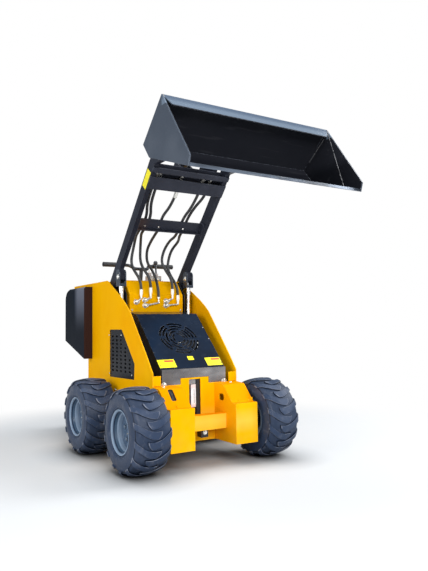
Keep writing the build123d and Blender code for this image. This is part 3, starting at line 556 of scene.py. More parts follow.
rim_finish = rim_paint()
zinc_finish = bright_zinc()
nut_finish = new_finish("painted_nuts", (0.12, 0.17, 0.24), 0.4, metallic=0.2)
lay_over(nut_finish, cloudy(nut_finish, 120.0, 0.45, 0.7), (0.30, 0.30, 0.30), 0.5)
grain(nut_finish, cloudy(nut_finish, 500.0, 0.3, 0.7), 0.0002, 0.5)
for wheel, (centre, outward) in WHEEL_CENTRES.items():
    face_out = Matrix.Identity(4) if outward > 0 else Matrix.Rotation(math.pi, 4, "Z")
    place = Matrix.Translation(centre) @ face_out
    rim = rim_shape()
    bmesh.ops.transform(rim, matrix=place, verts=rim.verts)
    rim_piece = fit_piece(f"dished_rim_{wheel}", rim, rim_finish, f"wheel_{wheel}")
    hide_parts(f"rim_{wheel}")
    nuts = bmesh.new()
    for index in range(NUTS):
        turn = math.tau * index / NUTS + FIRST_NUT
        seat = (DISC_FACE, NUT_CIRCLE * math.cos(turn), NUT_CIRCLE * math.sin(turn))
        add_nut(nuts, seat, (1, 0, 0), NUT_ACROSS, NUT_HEIGHT)
    bmesh.ops.transform(nuts, matrix=place, verts=nuts.verts)
    fit_piece(f"wheel_nuts_{wheel}", nuts, nut_finish, f"wheel_{wheel}")
    valve = bmesh.new()
    valve_foot = point_along((0.0, -outward * VALVE_RADIUS_AT * math.cos(VALVE_TURN),
                              VALVE_RADIUS_AT * math.sin(VALVE_TURN)), (1, 0, 0))
    for low, high, radius in VALVE_STEPS:
        add_turned(valve, valve_foot, low, high, radius, radius * 0.85, 14)
    bmesh.ops.transform(valve, matrix=place, verts=valve.verts)
    fit_piece(f"tyre_valve_{wheel}", valve, zinc_finish, f"wheel_{wheel}")

# ---- yellow bodywork ------------------------------------------------------------------------
# Folded and welded sheet steel in yellow powder coat: the two side towers, the bulkheads, the
# belly plate and the deck.  The coat is slightly orange-peeled and thin along the cut edges, which
# are paler as worn coat and painted highlight; upward faces of the frame carry painted shade, and
# the beam and left leg a painted sheen.
YELLOW = (0.88, 0.430, 0.001)
YELLOW_DEEP = (0.82, 0.335, 0.0)
YELLOW_PALE = (0.92, 0.50, 0.004)
YELLOW_EDGE = (1.0, 0.66, 0.12)
YELLOW_TOP_PAINTED_SHADE = (0.80, 0.25, 0.0)
YELLOW_PAINTED_SHEEN = (0.93, 0.64, 0.14)
PAINTED_SHEEN_PATCH = (-0.10, -0.60, 0.20), (0.27, -0.32, 0.275)    # a painted sheen on the beam and the left leg's face
ROAD_DUST = (0.46, 0.34, 0.19)
EDGE_ROUND = 0.0026


def rounded_edges(material, radius, edge_wear_and_highlight_colour, amount):
    """Shades sheet edges as rounded, and lays a paler tone along them in patches: worn paint and a painted
    highlight.
    """
    soft = add_node(material, "ShaderNodeBevel", {"Radius": radius}, samples=6).outputs[0]
    flat = add_node(material, "ShaderNodeNewGeometry").outputs["True Normal"]
    same = add_node(material, "ShaderNodeVectorMath", {0: soft, 1: flat}, operation="DOT_PRODUCT")
    edge = ramp(material, same.outputs["Value"], 0.985, 0.90)
    lay_over(material, both_masks(material, edge, cloudy(material, 90.0, 0.40, 0.62)), edge_wear_and_highlight_colour, amount)
    material.node_tree.links.new(soft, shader_of(material).inputs["Normal"])


def on_axis(material, vector, axis):
    """One of a vector's three numbers."""
    return add_node(material, "ShaderNodeSeparateXYZ", {0: vector}).outputs[axis]


def near_ground(material, top, bottom):
    """A mask that is 1 at the bottom height and 0 at the top one, broken up like thrown dust."""
    low = ramp(material, on_axis(material, own_place(material), "Z"), top, bottom)
    return both_masks(material, low, cloudy(material, 16.0, 0.30, 0.75, detail=6.0))


def between(material, axis, low, high, soft=0.0005):
    """A mask that is 1 between two heights on one of the piece's axes and 0 beyond them."""
    height = on_axis(material, own_place(material), axis)
    return both_masks(material, ramp(material, height, low - soft, low + soft),
                      ramp(material, height, high + soft, high - soft))


def inside_block(material, low, high, soft):
    """A mask that is 1 between two corners of a block, with soft sides."""
    inside = between(material, "X", low[0], high[0], soft)
    for axis, start, end in zip("YZ", low[1:], high[1:]):
        inside = both_masks(material, inside, between(material, axis, start, end, soft))
    return inside


def facing(material, axis, low, high):
    """A mask that goes from 0 to 1 as a surface turns to an axis; a minus sign is the other way."""
    normal = add_node(material, "ShaderNodeNewGeometry").outputs["True Normal"]
    return ramp(material, on_axis(material, normal, axis), low, high)


def yellow_coat(name, drift):
    """Yellow powder coat; drift sets the size of its slow changes of tone."""
    coat = new_finish(name, YELLOW, 0.38, metallic=0.12, specular=0.0)
    lay_over(coat, cloudy(coat, drift, 0.40, 0.74), YELLOW_DEEP, 0.55)
    lay_over(coat, cloudy(coat, drift * 1.7, 0.50, 0.80, stretch=(1.0, 1.3, 0.6)), YELLOW_PALE, 0.45)
    lay_over(coat, near_ground(coat, 0.36, 0.10), ROAD_DUST, 0.08)
    # Paler cut edges: worn coat and a painted highlight.
    rounded_edges(coat, EDGE_ROUND, YELLOW_EDGE, 0.75)
    uneven_gloss(coat, cloudy(coat, 9.0, 0.35, 0.70, detail=5.0), 0.30, 0.46)
    grain(coat, cloudy(coat, 230.0, 0.2, 0.8, detail=1.0), 0.00035, 0.35)
    return coat


def dress(node, material):
    """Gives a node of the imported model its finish."""
    carried = bpy.data.objects[node]
    if not carried.material_slots:
        carried.data.materials.append(material)
    for held in carried.material_slots:
        held.material = material


tower_coat = yellow_coat("tower_coat", 2.6)
frame_coat = yellow_coat("frame_coat", 4.5)
lay_over(frame_coat, facing(frame_coat, "Z", 0.35, 0.60), YELLOW_TOP_PAINTED_SHADE, 0.75)    # painted shade: faces that turn up are a deeper orange
# Painted sheen: a paler band on the front faces of the beam and the left leg.
front_painted_sheen = both_masks(frame_coat, inside_block(frame_coat, *PAINTED_SHEEN_PATCH, 0.035),
                          facing(frame_coat, "Y", -0.60, -0.90))
lay_over(frame_coat, front_painted_sheen, YELLOW_PAINTED_SHEEN, 0.36)
for sheet_node in ("tower_right", "tower_left", "top_deck", "hydraulic_panel"):
    dress(sheet_node, tower_coat)
for sheet_node in ("front_legs", "front_bulkhead", "front_beam", "belly_plate", "rear_bulkhead"):
    dress(sheet_node, frame_coat)

# ---- wheel motors and inner steelwork -------------------------------------------------------
# Cast hydraulic wheel motors in black paint on the side plates, the black channel walls that the
# cylinders stand in, the steel pins and the engine block under the hood.
MOTOR_FACE_X = 0.294            # outer face of a motor's square flange
MOTOR_BOLT_REACH = 0.052
MOTOR_BOLT = (0.017, 0.010)     # across its flats, and its height
INSIDE_BLACK = (0.010, 0.011, 0.014)


def black_enamel(name, colour, low, high, edge_wear_and_highlight=(0.12, 0.125, 0.135), specular=0.5):
    """Black machinery enamel: satin, a little chalky in patches and paler on its edges, as rubbed paint and
    painted highlight.
    """
    enamel = new_finish(name, colour, 0.4, specular=specular)
    chalky = cloudy(enamel, 5.0, 0.42, 0.78, detail=5.0)
    lay_over(enamel, chalky, tuple(min(1.0, tone * 1.9 + 0.006) for tone in colour), 0.55)
    # Paler edges: rubbed paint and a painted highlight.
    rounded_edges(enamel, EDGE_ROUND, edge_wear_and_highlight, 0.6)
    uneven_gloss(enamel, chalky, low, high)
    grain(enamel, cloudy(enamel, 300.0, 0.2, 0.8, detail=1.0), 0.0003, 0.35)
    return enamel


def cast_metal(name, colour, metallic):
    """Grey cast aluminium with a sandy skin, darker in drifting patches."""
    cast = new_finish(name, colour, 0.55, metallic=metallic)
    lay_over(cast, cloudy(cast, 12.0, 0.4, 0.7), tuple(tone * 0.35 for tone in colour), 0.6)
    grain(cast, cloudy(cast, 220.0, 0.2, 0.8), 0.0008, 0.7)
    return cast


motor_enamel = black_enamel("motor_enamel", (0.020, 0.021, 0.024), 0.34, 0.52)
inside_enamel = black_enamel("inside_enamel", INSIDE_BLACK, 0.42, 0.60)
dress("wheel_motors", motor_enamel)
dress("channel_walls", inside_enamel)
dress("pivot_pins", zinc_finish)
dress("engine_block", cast_metal("engine_casting", (0.33, 0.33, 0.34), 0.8))
motor_bolts = bmesh.new()
for centre, outward in WHEEL_CENTRES.values():
    for up in (-1, 1):
        for along in (-1, 1):
            seat = (outward * MOTOR_FACE_X, centre[1] + along * MOTOR_BOLT_REACH,
                    centre[2] + up * MOTOR_BOLT_REACH)
            add_nut(motor_bolts, seat, (outward, 0, 0), *MOTOR_BOLT)
fit_piece("motor_bolts", motor_bolts, zinc_finish, "chassis")

# ---- hood -----------------------------------------------------------------------------------
# The sloping hood is one folded sheet in deep blue-black gloss with rings of air slots over the
# fan.  Below it stands the grey apron; screws hold both, and three plain stickers lie on it.
NAVY = (0.007, 0.012, 0.024)
APRON_GREY = (0.36, 0.355, 0.36)
STICKER_YELLOW = (0.90, 0.78, 0.01)
STICKER_RED = (0.55, 0.09, 0.03)
HOOD_LOW, HOOD_HIGH = (-0.324, 0.529), (-0.001, 0.850)   # (y, z) of the slope's lower and upper folds
STICKERS = [
    # across from and to, then up the slope from and to, in metres
    (-0.214, -0.104, 0.012, 0.074),
    (0.104, 0.209, 0.012, 0.074),
    (-0.008, 0.030, 0.062, 0.092),
]
FILM_LOW, FILM_HIGH, BAND_HIGH = 0.0002, 0.0009, 0.0012   # heights of a sticker and of its red band
BAND_SHIFT, BAND_HALF = 0.018, 0.030    # the red band: off the sticker's middle, and half its width
BAND_MARGIN, BAND_TALL = 0.006, 0.014
SCREW_ACROSS = 0.206
SCREW_ROWS = [0.03, 0.13, 0.23, 0.33, 0.43]
BARE_SCREWS = [0.23, 0.33]      # the screws whose paint has come off, on the left edge
FAN_UP, FAN_UNDER = 0.228, 0.035   # the fan's middle: up the slope, and how far under it
FAN_BLADES, BLADE_PITCH = 7, 0.5
BLADE_BOX = ((0.030, -0.026, -0.001), (0.128, 0.026, 0.001))   # root to tip, across, thickness
RIVET_RING = 0.121              # radius of the shroud's rivets, under the outer slots
RIVET_TURNS = [-0.5, -0.2, 0.1, 0.35, 1.0]


def on_hood(across, up, out=0.0):
    """A point on the hood's slope: across, up the slope and out from it."""
    rise = Vector((0, HOOD_HIGH[0] - HOOD_LOW[0], HOOD_HIGH[1] - HOOD_LOW[1])).normalized()
    square = Vector((0, -rise.z, rise.y))
    return Vector((across, *HOOD_LOW)) + rise * up + square * out


def hood_gloss():
    """Deep blue-black gloss, bluer in broad patches as a painted reflection of the sky, with dust drawn out
    down the slope.
    """
    gloss = new_finish("hood_gloss", NAVY, 0.16, specular=0.12)
    # Painted reflection: broad bluer patches stand for the sky mirrored in the gloss.
    lay_over(gloss, cloudy(gloss, 3.0, 0.38, 0.72), (0.009, 0.020, 0.044), 0.75)
    lay_over(gloss, cloudy(gloss, 26.0, 0.55, 0.80, detail=6.0), (0.055, 0.065, 0.085), 0.18)
    # Paler edges: worn paint and a painted highlight.
    rounded_edges(gloss, EDGE_ROUND, (0.20, 0.22, 0.26), 0.55)
    uneven_gloss(gloss, cloudy(gloss, 7.0, 0.35, 0.75, detail=5.0), 0.12, 0.30)
    grain(gloss, cloudy(gloss, 4.0, 0.2, 0.8, detail=0.0), 0.0020, 0.30)
    return gloss


def apron_sheet():
    """Bright-rolled grey sheet that mirrors the front of the machine softly, with a drawn grain and a
    painted darker reflection across the machine's right side.
    """
    sheet = new_finish("apron_sheet", APRON_GREY, 0.24, metallic=0.75)
    lay_over(sheet, cloudy(sheet, 5.0, 0.36, 0.66, stretch=(1.0, 1.0, 2.4)), (0.13, 0.125, 0.13), 0.8)
    lay_over(sheet, cloudy(sheet, 11.0, 0.52, 0.80, detail=5.0), (0.50, 0.44, 0.38), 0.35)
    # Painted reflection: the sheet is darker across the machine's right side.
    lay_over(sheet, between(sheet, "X", -0.30, -0.10, 0.08), (0.10, 0.095, 0.10), 0.7)
    uneven_gloss(sheet, cloudy(sheet, 14.0, 0.35, 0.72), 0.16, 0.36)
    grain(sheet, cloudy(sheet, 4.0, 0.2, 0.8, detail=1.0), 0.0060, 0.6)
    grain(sheet, cloudy(sheet, 60.0, 0.2, 0.8, stretch=(0.2, 1.0, 6.0)), 0.0002, 0.3)
    return sheet


def sticker_film(name, colour):
    """Plain vinyl or soft plastic, slightly glossy and faded in patches."""
    film = new_finish(name, colour, 0.34)
    lay_over(film, cloudy(film, 30.0, 0.45, 0.75), tuple(tone * 0.82 for tone in colour), 0.5)
    grain(film, cloudy(film, 120.0, 0.3, 0.7), 0.0001, 0.4)
    return film


def add_box(shape, low, high, matrix=Matrix.Identity(4)):
    """Adds a block between two corners, placed by a matrix."""
    low, high = Vector(low), Vector(high)
    size = Matrix.Diagonal((*(high - low), 1.0))
    bmesh.ops.create_cube(shape, size=1.0, matrix=matrix @ Matrix.Translation((low + high) / 2) @ size)


def film_shape(low, high, matrix):
    """A sticker: a thin sheet between two corners, its edges just broken."""
    film = bmesh.new()
    add_box(film, low, high, matrix)
    bmesh.ops.bevel(film, geom=film.edges[:], offset=0.0003, offset_type="OFFSET", segments=1,
                    profile=0.5, affect="EDGES", material=-1)
    return film


hood_finish = hood_gloss()
dress("hood", hood_finish)
apron_finish = apron_sheet()
dress("hood_apron", apron_finish)
slope_turn = math.atan2(HOOD_HIGH[1] - HOOD_LOW[1], HOOD_HIGH[0] - HOOD_LOW[0])
hood_frame = Matrix.Translation((0, *HOOD_LOW)) @ Matrix.Rotation(slope_turn, 4, "X")
yellow_film = sticker_film("yellow_sticker_film", STICKER_YELLOW)
red_film = sticker_film("red_sticker_film", STICKER_RED)
for sticker_index, (left, right, lower, upper) in enumerate(STICKERS):
    sticker = film_shape((left, lower, FILM_LOW), (right, upper, FILM_HIGH), hood_frame)
    fit_piece(f"hood_sticker_{sticker_index + 1}", sticker, yellow_film, "chassis")
band = bmesh.new()
for left, right, lower, upper in STICKERS[:2]:
    middle, top = (left + right) / 2 + BAND_SHIFT, upper - BAND_MARGIN
    add_box(band, (middle - BAND_HALF, top - BAND_TALL, FILM_HIGH), (middle + BAND_HALF, top, BAND_HIGH),
            hood_frame)
fit_piece("sticker_bands", band, red_film, "chassis")


def add_dome(shape, place, axis, radius, height):
    """Adds a round pan head with a slight washer rim, standing on a face."""
    at = point_along(place, axis)
    add_turned(shape, at, 0.0, height * 0.25, radius * 1.25, radius * 1.2, 20)
    add_turned(shape, at, height * 0.245, height * 0.995, radius, radius * 0.55, 20)


hood_screws, bare_screws = bmesh.new(), bmesh.new()
hood_out = (on_hood(0, 0, 1) - on_hood(0, 0)).normalized()
for up in SCREW_ROWS:
    for side in (-1, 1):
        held = bare_screws if side > 0 and up in BARE_SCREWS else hood_screws
        add_dome(held, on_hood(side * SCREW_ACROSS, up), hood_out, 0.0030, 0.003)
fit_piece("hood_screws", hood_screws, hood_finish, "chassis")
fit_piece("bare_hood_screws", bare_screws, zinc_finish, "chassis")

# The fan under the slots: a dark backing disc, a hub with its bolt, seven blades and some rivets.
fan_middle = on_hood(0.0, FAN_UP, -FAN_UNDER)
fan_frame = point_along(fan_middle, hood_out)
fan = bmesh.new()
add_turned(fan, fan_frame, -0.031, -0.029, 0.150, 0.150, 48)
add_turned(fan, fan_frame, -0.010, 0.010, 0.036, 0.030, 32)
for index in range(FAN_BLADES):
    blade_turn = Matrix.Rotation(math.tau * index / FAN_BLADES, 4, "Z")
    add_box(fan, *BLADE_BOX, fan_frame @ blade_turn @ Matrix.Rotation(BLADE_PITCH, 4, "X"))
fit_piece("cooling_fan", fan, inside_enamel, "chassis")
fan_bolt = bmesh.new()
add_nut(fan_bolt, fan_middle + hood_out * 0.010, hood_out, 0.022, 0.010)
for turn in RIVET_TURNS:
    seat = fan_frame @ Vector((math.cos(turn) * RIVET_RING, math.sin(turn) * RIVET_RING, 0.028))
    add_dome(fan_bolt, seat, hood_out, 0.0052, 0.004)
fit_piece("fan_bolt", fan_bolt, zinc_finish, "chassis")

# ---- front hardware and sight gauge ---------------------------------------------------------
# Plated bolts on the front frame, a welded stop at each side, the black tow lug with its bolt,
# and the oil gauge: a clear-fronted white tube with pink ends, in a dark recess.
APRON_BOLTS = [(-0.201, -0.335, 0.441), (0.201, -0.335, 0.442)]
BOX_SCREWS = [(-0.218, -0.5135, 0.3448), (0.182, -0.5135, 0.3448), (0.256, -0.5135, 0.3448)]
BOX_SLOPE_OUT = (0.0, -0.722, 0.692)
TOP_SCREWS = [(-0.223, -0.374, 0.4362), (0.223, -0.374, 0.4362)]
STOP_BOSSES, STOP_DEPTH = [(-0.246, -0.335, 0.452), (0.249, -0.335, 0.452)], 0.012
STOP_BLOCK = ((0.266, -0.514, 0.342), (0.2795, -0.494, 0.358))
TOW_BOLT = (0.0, -0.440, 0.176)
SLOT_MIDDLE, SLOT_TURN = (-0.216, -0.460, 0.401), math.radians(46.2)    # a black pad closes it behind
PAD_BOXES = [((-0.018, -0.043, -0.0105), (0.018, 0.043, -0.0064)),
             ((-0.005, -0.014, -0.0064), (0.003, 0.016, -0.0020))]      # in the slot's own frame
GAUGE_MIDDLE_Z, GAUGE_WHITE_HALF = 0.3655, 0.046
# Behind the gauge, and the dark strips on its two sides
RECESS_BOXES = [((-0.0595, -0.2962, 0.2405), (0.0595, -0.2952, 0.4795)),
                ((0.016, -0.326, 0.262), (0.0375, -0.3235, 0.466)),
                ((-0.0375, -0.326, 0.262), (-0.024, -0.3235, 0.434))]
MARK_BOX = ((0.0010, -0.3214, 0.328), (0.0038, -0.3209, 0.407))
CAP_BOX = ((-0.036, -0.322, 0.436), (0.012, -0.298, 0.4655))


def add_tube(shape, start, end, radius, end_radius=None, segments=24):
    """Adds a straight round bar, or a taper, between two points."""
    way = Vector(end) - Vector(start)
    add_turned(shape, point_along(start, way), 0.0, way.length, radius,
               radius if end_radius is None else end_radius, segments)


def add_socket_head(shape, place, axis, radius, height):
    """Adds a round bolt head on its washer, with a hollow in its face."""
    at = point_along(place, axis)
    add_turned(shape, at, 0.0, height * 0.2, radius * 1.3, radius * 1.3, 24)
    head = add_turned(shape, at, 0.0, height, radius, radius, 24)
    faces = {face for vert in head for face in vert.link_faces}
    front = max(faces, key=lambda face: face.calc_center_median().dot(Vector(axis)))
    bmesh.ops.inset_region(shape, faces=[front], thickness=radius * 0.42, depth=0.0)
    bmesh.ops.inset_region(shape, faces=[front], thickness=0.0001, depth=-height * 0.6)


def gauge_tube():
    """White gauge body behind clear plastic, pink at its two ends."""
    tube = new_finish("gauge_tube", (0.76, 0.62, 0.61), 0.18)
    white = between(tube, "Z", GAUGE_MIDDLE_Z - GAUGE_WHITE_HALF, GAUGE_MIDDLE_Z + GAUGE_WHITE_HALF, 0.006)
    lay_over(tube, white, (0.84, 0.85, 0.88))
    lay_over(tube, cloudy(tube, 60.0, 0.45, 0.75), (0.60, 0.60, 0.62), 0.4)
    grain(tube, cloudy(tube, 90.0, 0.3, 0.7), 0.0002, 0.5)
    return tube


front_bolts = bmesh.new()
for seat in APRON_BOLTS:
    add_dome(front_bolts, seat, (0, -1, 0), 0.0150, 0.009)
for seat in TOP_SCREWS:
    add_dome(front_bolts, seat, (0, 0, 1), 0.0060, 0.006)
add_socket_head(front_bolts, TOW_BOLT, (0, -1, 0), 0.0098, 0.009)
fit_piece("front_bolts", front_bolts, zinc_finish, "chassis")
bosses = bmesh.new()
for seat in STOP_BOSSES:
    add_tube(bosses, seat, Vector(seat) - Vector((0, STOP_DEPTH, 0)), 0.0125)
for seat in BOX_SCREWS:
    add_dome(bosses, seat, BOX_SLOPE_OUT, 0.0055, 0.005)
add_box(bosses, *STOP_BLOCK)
fit_piece("stop_bosses", bosses, frame_coat, "chassis")
dress("tow_lug", inside_enamel)
dress("level_gauge", gauge_tube())
recess = bmesh.new()
for corners in RECESS_BOXES:
    add_box(recess, *corners)
slot_frame = Matrix.Translation(SLOT_MIDDLE) @ Matrix.Rotation(SLOT_TURN, 4, "X")
for corners in PAD_BOXES:
    add_box(recess, *corners, slot_frame)
fit_piece("gauge_recess", recess, inside_enamel, "chassis")
mark = bmesh.new()
add_box(mark, *MARK_BOX)
fit_piece("gauge_mark", mark, inside_enamel, "chassis")
gauge_cap = bmesh.new()
add_box(gauge_cap, *CAP_BOX)
fit_piece("gauge_cap", gauge_cap, apron_finish, "chassis")

# ---- side screens ---------------------------------------------------------------------------
# Each tower's window is closed from behind by a black sheet with punched slots, which four small
# plated bolts hold.
SCREEN_OUTLINE = [(0.274, 0.449), (0.274, 0.765), (0.065, 0.765), (-0.125, 0.560), (-0.117, 0.452)]
SCREEN_X, SCREEN_MIDDLE_X = (0.2731, 0.2749), 0.274
PLATE_FACE_X = 0.280            # the side plate's outer face, where the bolts sit
SLOT_COLUMNS = [0.221, 0.157, 0.093, 0.029, -0.035]
SLOT_TOP, SLOT_PITCH, SLOT_ROWS = 0.714, 0.0236, 10
SLOT_RADIUS, SLOT_REACH = 0.0062, 0.0090
LOW_BOLT = (0.170, 0.383)
SCREEN_BOLTS = [(0.270, 0.722), (0.078, 0.722), (-0.078, 0.486), (0.262, 0.480)]


def cut_out(shape, cutter):
    """The first shape with the second one cut out of it."""
    holders = []
    for made in (shape, cutter):
        mesh = bpy.data.meshes.new("blank")
        made.to_mesh(mesh)
        made.free()
        holders.append(bpy.data.objects.new("blank", mesh))
        bpy.context.collection.objects.link(holders[-1])
    carve = holders[0].modifiers.new("carve", "BOOLEAN")
    carve.operation = "DIFFERENCE"
    carve.solver = "EXACT"
    carve.object = holders[1]
    bpy.context.view_layer.update()
    result = bmesh.new()
    result.from_object(holders[0], bpy.context.evaluated_depsgraph_get())
    for holder in holders:
        bpy.data.objects.remove(holder)
    return result


def inside_slope(y, z):
    """Whether a slot at this place clears the window's slanted edge."""
    return y - SLOT_REACH - SLOT_RADIUS > 0.075 - (0.745 - z) * 0.92 + 0.014


screen_sheet = black_enamel("screen_sheet", (0.005, 0.007, 0.012), 0.40, 0.60, specular=0.15)
for side, side_name in ((-1, "right"), (1, "left")):
    low, high = sorted((side * SCREEN_X[0], side * SCREEN_X[1]))
    sheet = bmesh.new()
    sheet_face = sheet.faces.new([sheet.verts.new((low, y, z)) for y, z in SCREEN_OUTLINE])
    risen = bmesh.ops.extrude_face_region(sheet, geom=[sheet_face], use_keep_orig=True)
    for vert in {vert for vert in risen["geom"] if isinstance(vert, bmesh.types.BMVert)}:
        vert.co.x = high
    bmesh.ops.recalc_face_normals(sheet, faces=sheet.faces)
    punch = bmesh.new()
    for column in SLOT_COLUMNS:
        for row in range(SLOT_ROWS):
            height = SLOT_TOP - SLOT_PITCH * row
            if not inside_slope(column, height):
                continue
            through = point_along((side * SCREEN_MIDDLE_X, column, height), (1, 0, 0))
            for vert in add_turned(punch, through, -0.01, 0.01, SLOT_RADIUS, SLOT_RADIUS, 16):
                vert.co.y += math.copysign(SLOT_REACH, vert.co.y - column)
    screen = fit_piece(f"punched_screen_{side_name}", cut_out(sheet, punch), screen_sheet, "chassis")
    if side < 0:
        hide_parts("side_grilles")
screen_bolts = bmesh.new()
for side in (-1, 1):
    for y, z in SCREEN_BOLTS:
        add_dome(screen_bolts, (side * PLATE_FACE_X, y, z), (side, 0, 0), 0.0042, 0.003)
    add_dome(screen_bolts, (side * PLATE_FACE_X, *LOW_BOLT), (side, 0, 0), 0.006, 0.005)
fit_piece("screen_bolts", screen_bolts, zinc_finish, "chassis")

# ---- hydraulic fittings ---------------------------------------------------------------------
# Plated steel elbows screwed into the panel.  Each has a plug in its front, a tube across to its
# riser, and a pale crimped ferrule on the hose; the middle hose sits on a bare bent tube.
PANEL_FACE_Y, ELBOW_Y = 0.143, 0.117
PORTS = [
    # across and height of the port, across of the riser, heights of the riser's two ends
    (-0.149, 0.931, -0.124, 0.956, 1.004), (-0.089, 0.944, -0.057, 0.957, 1.017),
    (-0.086, 0.909, 0.000, 0.925, 0.963), (0.066, 0.938, 0.102, 0.954, 1.011),
    (0.064, 0.910, 0.142, 0.917, 0.971),
]
BARE_PORT = 2
FERRULE_LENGTH = 0.034          # below the hose's end
FERRULE_STEPS = [(0.000, 0.008, 0.0088), (0.008, 0.030, 0.0105), (0.030, 0.033, 0.0100),
                 (0.033, 0.040, 0.0105)]       # from, to, radius
PANEL_SCREWS_X, PANEL_SCREWS_Z = (-0.176, 0.176), 0.880


def ferrule_shell():
    """Cream-coloured passivated ferrule, rolled smooth and slightly stained."""
    shell = new_finish("ferrule_shell", (0.90, 0.88, 0.80), 0.32, metallic=0.25)
    lay_over(shell, cloudy(shell, 60.0, 0.46, 0.76), (0.66, 0.60, 0.48), 0.5)
    grain(shell, cloudy(shell, 300.0, 0.3, 0.7, stretch=(1.0, 1.0, 0.2)), 0.0003, 0.6)
    return shell


def add_ball(shape, place, radius):
    """Adds a small sphere."""
    bmesh.ops.create_uvsphere(shape, u_segments=20, v_segments=12, radius=radius,
                              matrix=Matrix.Translation(place))


ferrule_finish = ferrule_shell()
elbows = bmesh.new()
ferrules = bmesh.new()
for index, (port_x, port_z, riser_x, foot_z, top_z) in enumerate(PORTS):
    knee, foot, top = ((port_x, ELBOW_Y, port_z), (riser_x, ELBOW_Y, foot_z), (riser_x, ELBOW_Y, top_z))
    add_nut(elbows, (port_x, PANEL_FACE_Y, port_z), (0, -1, 0), 0.024, 0.012)
    add_tube(elbows, (port_x, PANEL_FACE_Y - 0.008, port_z), knee, 0.0085)
    add_ball(elbows, knee, 0.0095)
    add_socket_head(elbows, (port_x, ELBOW_Y - 0.002, port_z), (0, -1, 0), 0.0090, 0.010)
    add_tube(elbows, knee, foot, 0.0058)
    add_ball(elbows, foot, 0.0066)
    if index == BARE_PORT:
        add_tube(elbows, foot, top, 0.0055)
        add_tube(elbows, Vector(top) - Vector((0, 0, 0.010)), top, 0.0100)
        continue
    waist = Vector(top) - Vector((0, 0, FERRULE_LENGTH))
    add_tube(ferrules, foot, waist, 0.0068)
    for start, end, radius in FERRULE_STEPS:
        add_tube(ferrules, waist + Vector((0, 0, start)), waist + Vector((0, 0, end)), radius)
elbow_piece = fit_piece("port_elbows", elbows, zinc_finish, "chassis")
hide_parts("hydraulic_fittings")
fit_piece("hose_ferrules", ferrules, ferrule_finish, "chassis")
panel_screws = bmesh.new()
for across in PANEL_SCREWS_X:
    add_dome(panel_screws, (across, PANEL_FACE_Y, PANEL_SCREWS_Z), (0, -1, 0), 0.0055, 0.004)
fit_piece("panel_screws", panel_screws, zinc_finish, "chassis")

# ---- rear housing ---------------------------------------------------------------------------
# One hollow moulding of dark blue-grey plastic over the fuel tank and the battery.  Its front
# rim carries a painted brown reflection, and the side a painted highlight just behind that rim.
HOUSING_GREY = (0.008, 0.011, 0.017)
RIM_PAINTED_REFLECTION_BROWN = (0.030, 0.015, 0.013)
PAINTED_HIGHLIGHT_GREY = (0.145, 0.155, 0.195)


def moulded_plastic():
    """Blue-grey moulded plastic: an even leathery grain, a painted brown reflection on the front rim and a
    painted highlight band.
    """
    plastic = new_finish("moulded_plastic", HOUSING_GREY, 0.45, specular=0.01)
    scuffed = cloudy(plastic, 4.0, 0.42, 0.78, detail=5.0)
    lay_over(plastic, scuffed, (0.011, 0.016, 0.028), 0.6)
    place = own_place(plastic)
    # Painted highlight: a brighter band high on the side, just behind the front rim.
    ahead = ramp(plastic, on_axis(plastic, place, "Y"), 0.77, 0.70)
    high = ramp(plastic, on_axis(plastic, place, "Z"), 0.72, 1.05, kind="SMOOTHSTEP")
    lay_over(plastic, both_masks(plastic, ahead, high), PAINTED_HIGHLIGHT_GREY, 0.9)
    # Paler edges: worn plastic and a painted highlight.
    rounded_edges(plastic, 0.004, (0.13, 0.14, 0.17), 0.7)
    # Painted reflection: the front rim takes a warm brown-black.
    lay_over(plastic, between(plastic, "Y", 0.50, 0.5690), RIM_PAINTED_REFLECTION_BROWN)
    uneven_gloss(plastic, scuffed, 0.36, 0.52)
    grain(plastic, cloudy(plastic, 420.0, 0.2, 0.8, detail=1.0), 0.0004, 0.5)
    return plastic


dress("rear_housing", moulded_plastic())

# ---- controls -------------------------------------------------------------------------------
# A black tubular drive handle with ribbed rubber grips stands on the deck; beside it the cast
# control valve carries a short lever with a ball knob.
GRIP_BLACK = (0.016, 0.017, 0.020)
VALVE_CAPS_X, VALVE_CAPS_Z = [0.040, 0.066, 0.092], 1.096
VALVE_FACES = ((0.2945, -1), (0.3555, 1))       # where the valve's two faces are, and which way they face
VALVE_FOOT = ((0.014, 0.285, 1.075), (0.118, 0.365, 1.079))
FOOT_BOLTS = [(0.020, 0.288), (0.112, 0.288)]
HANDLE_BOLTS_X, HANDLE_BOLTS_Y, HANDLE_FOOT_Z = (-0.020, 0.020), (0.368, 0.412), 1.083
LEVER_SEAT, LEVER_TOP = (0.040, 0.325, 1.141), (0.040, 0.325, 1.156)
SMALL_BOLT = (0.012, 0.007)     # across its flats, and its height


def grip_rubber():
    """Soft black rubber with fine ribs round the bar and a dull, handled skin."""
    rubber = new_finish("grip_rubber_ribbed", GRIP_BLACK, 0.6)
    lay_over(rubber, cloudy(rubber, 30.0, 0.45, 0.75), (0.045, 0.046, 0.050), 0.6)
    ribs = add_node(rubber, "ShaderNodeTexWave", {"Vector": own_place(rubber), "Scale": 40.0},
                    bands_direction="X")
    grain(rubber, ribs.outputs["Fac"], 0.0012, 0.8)
    return rubber


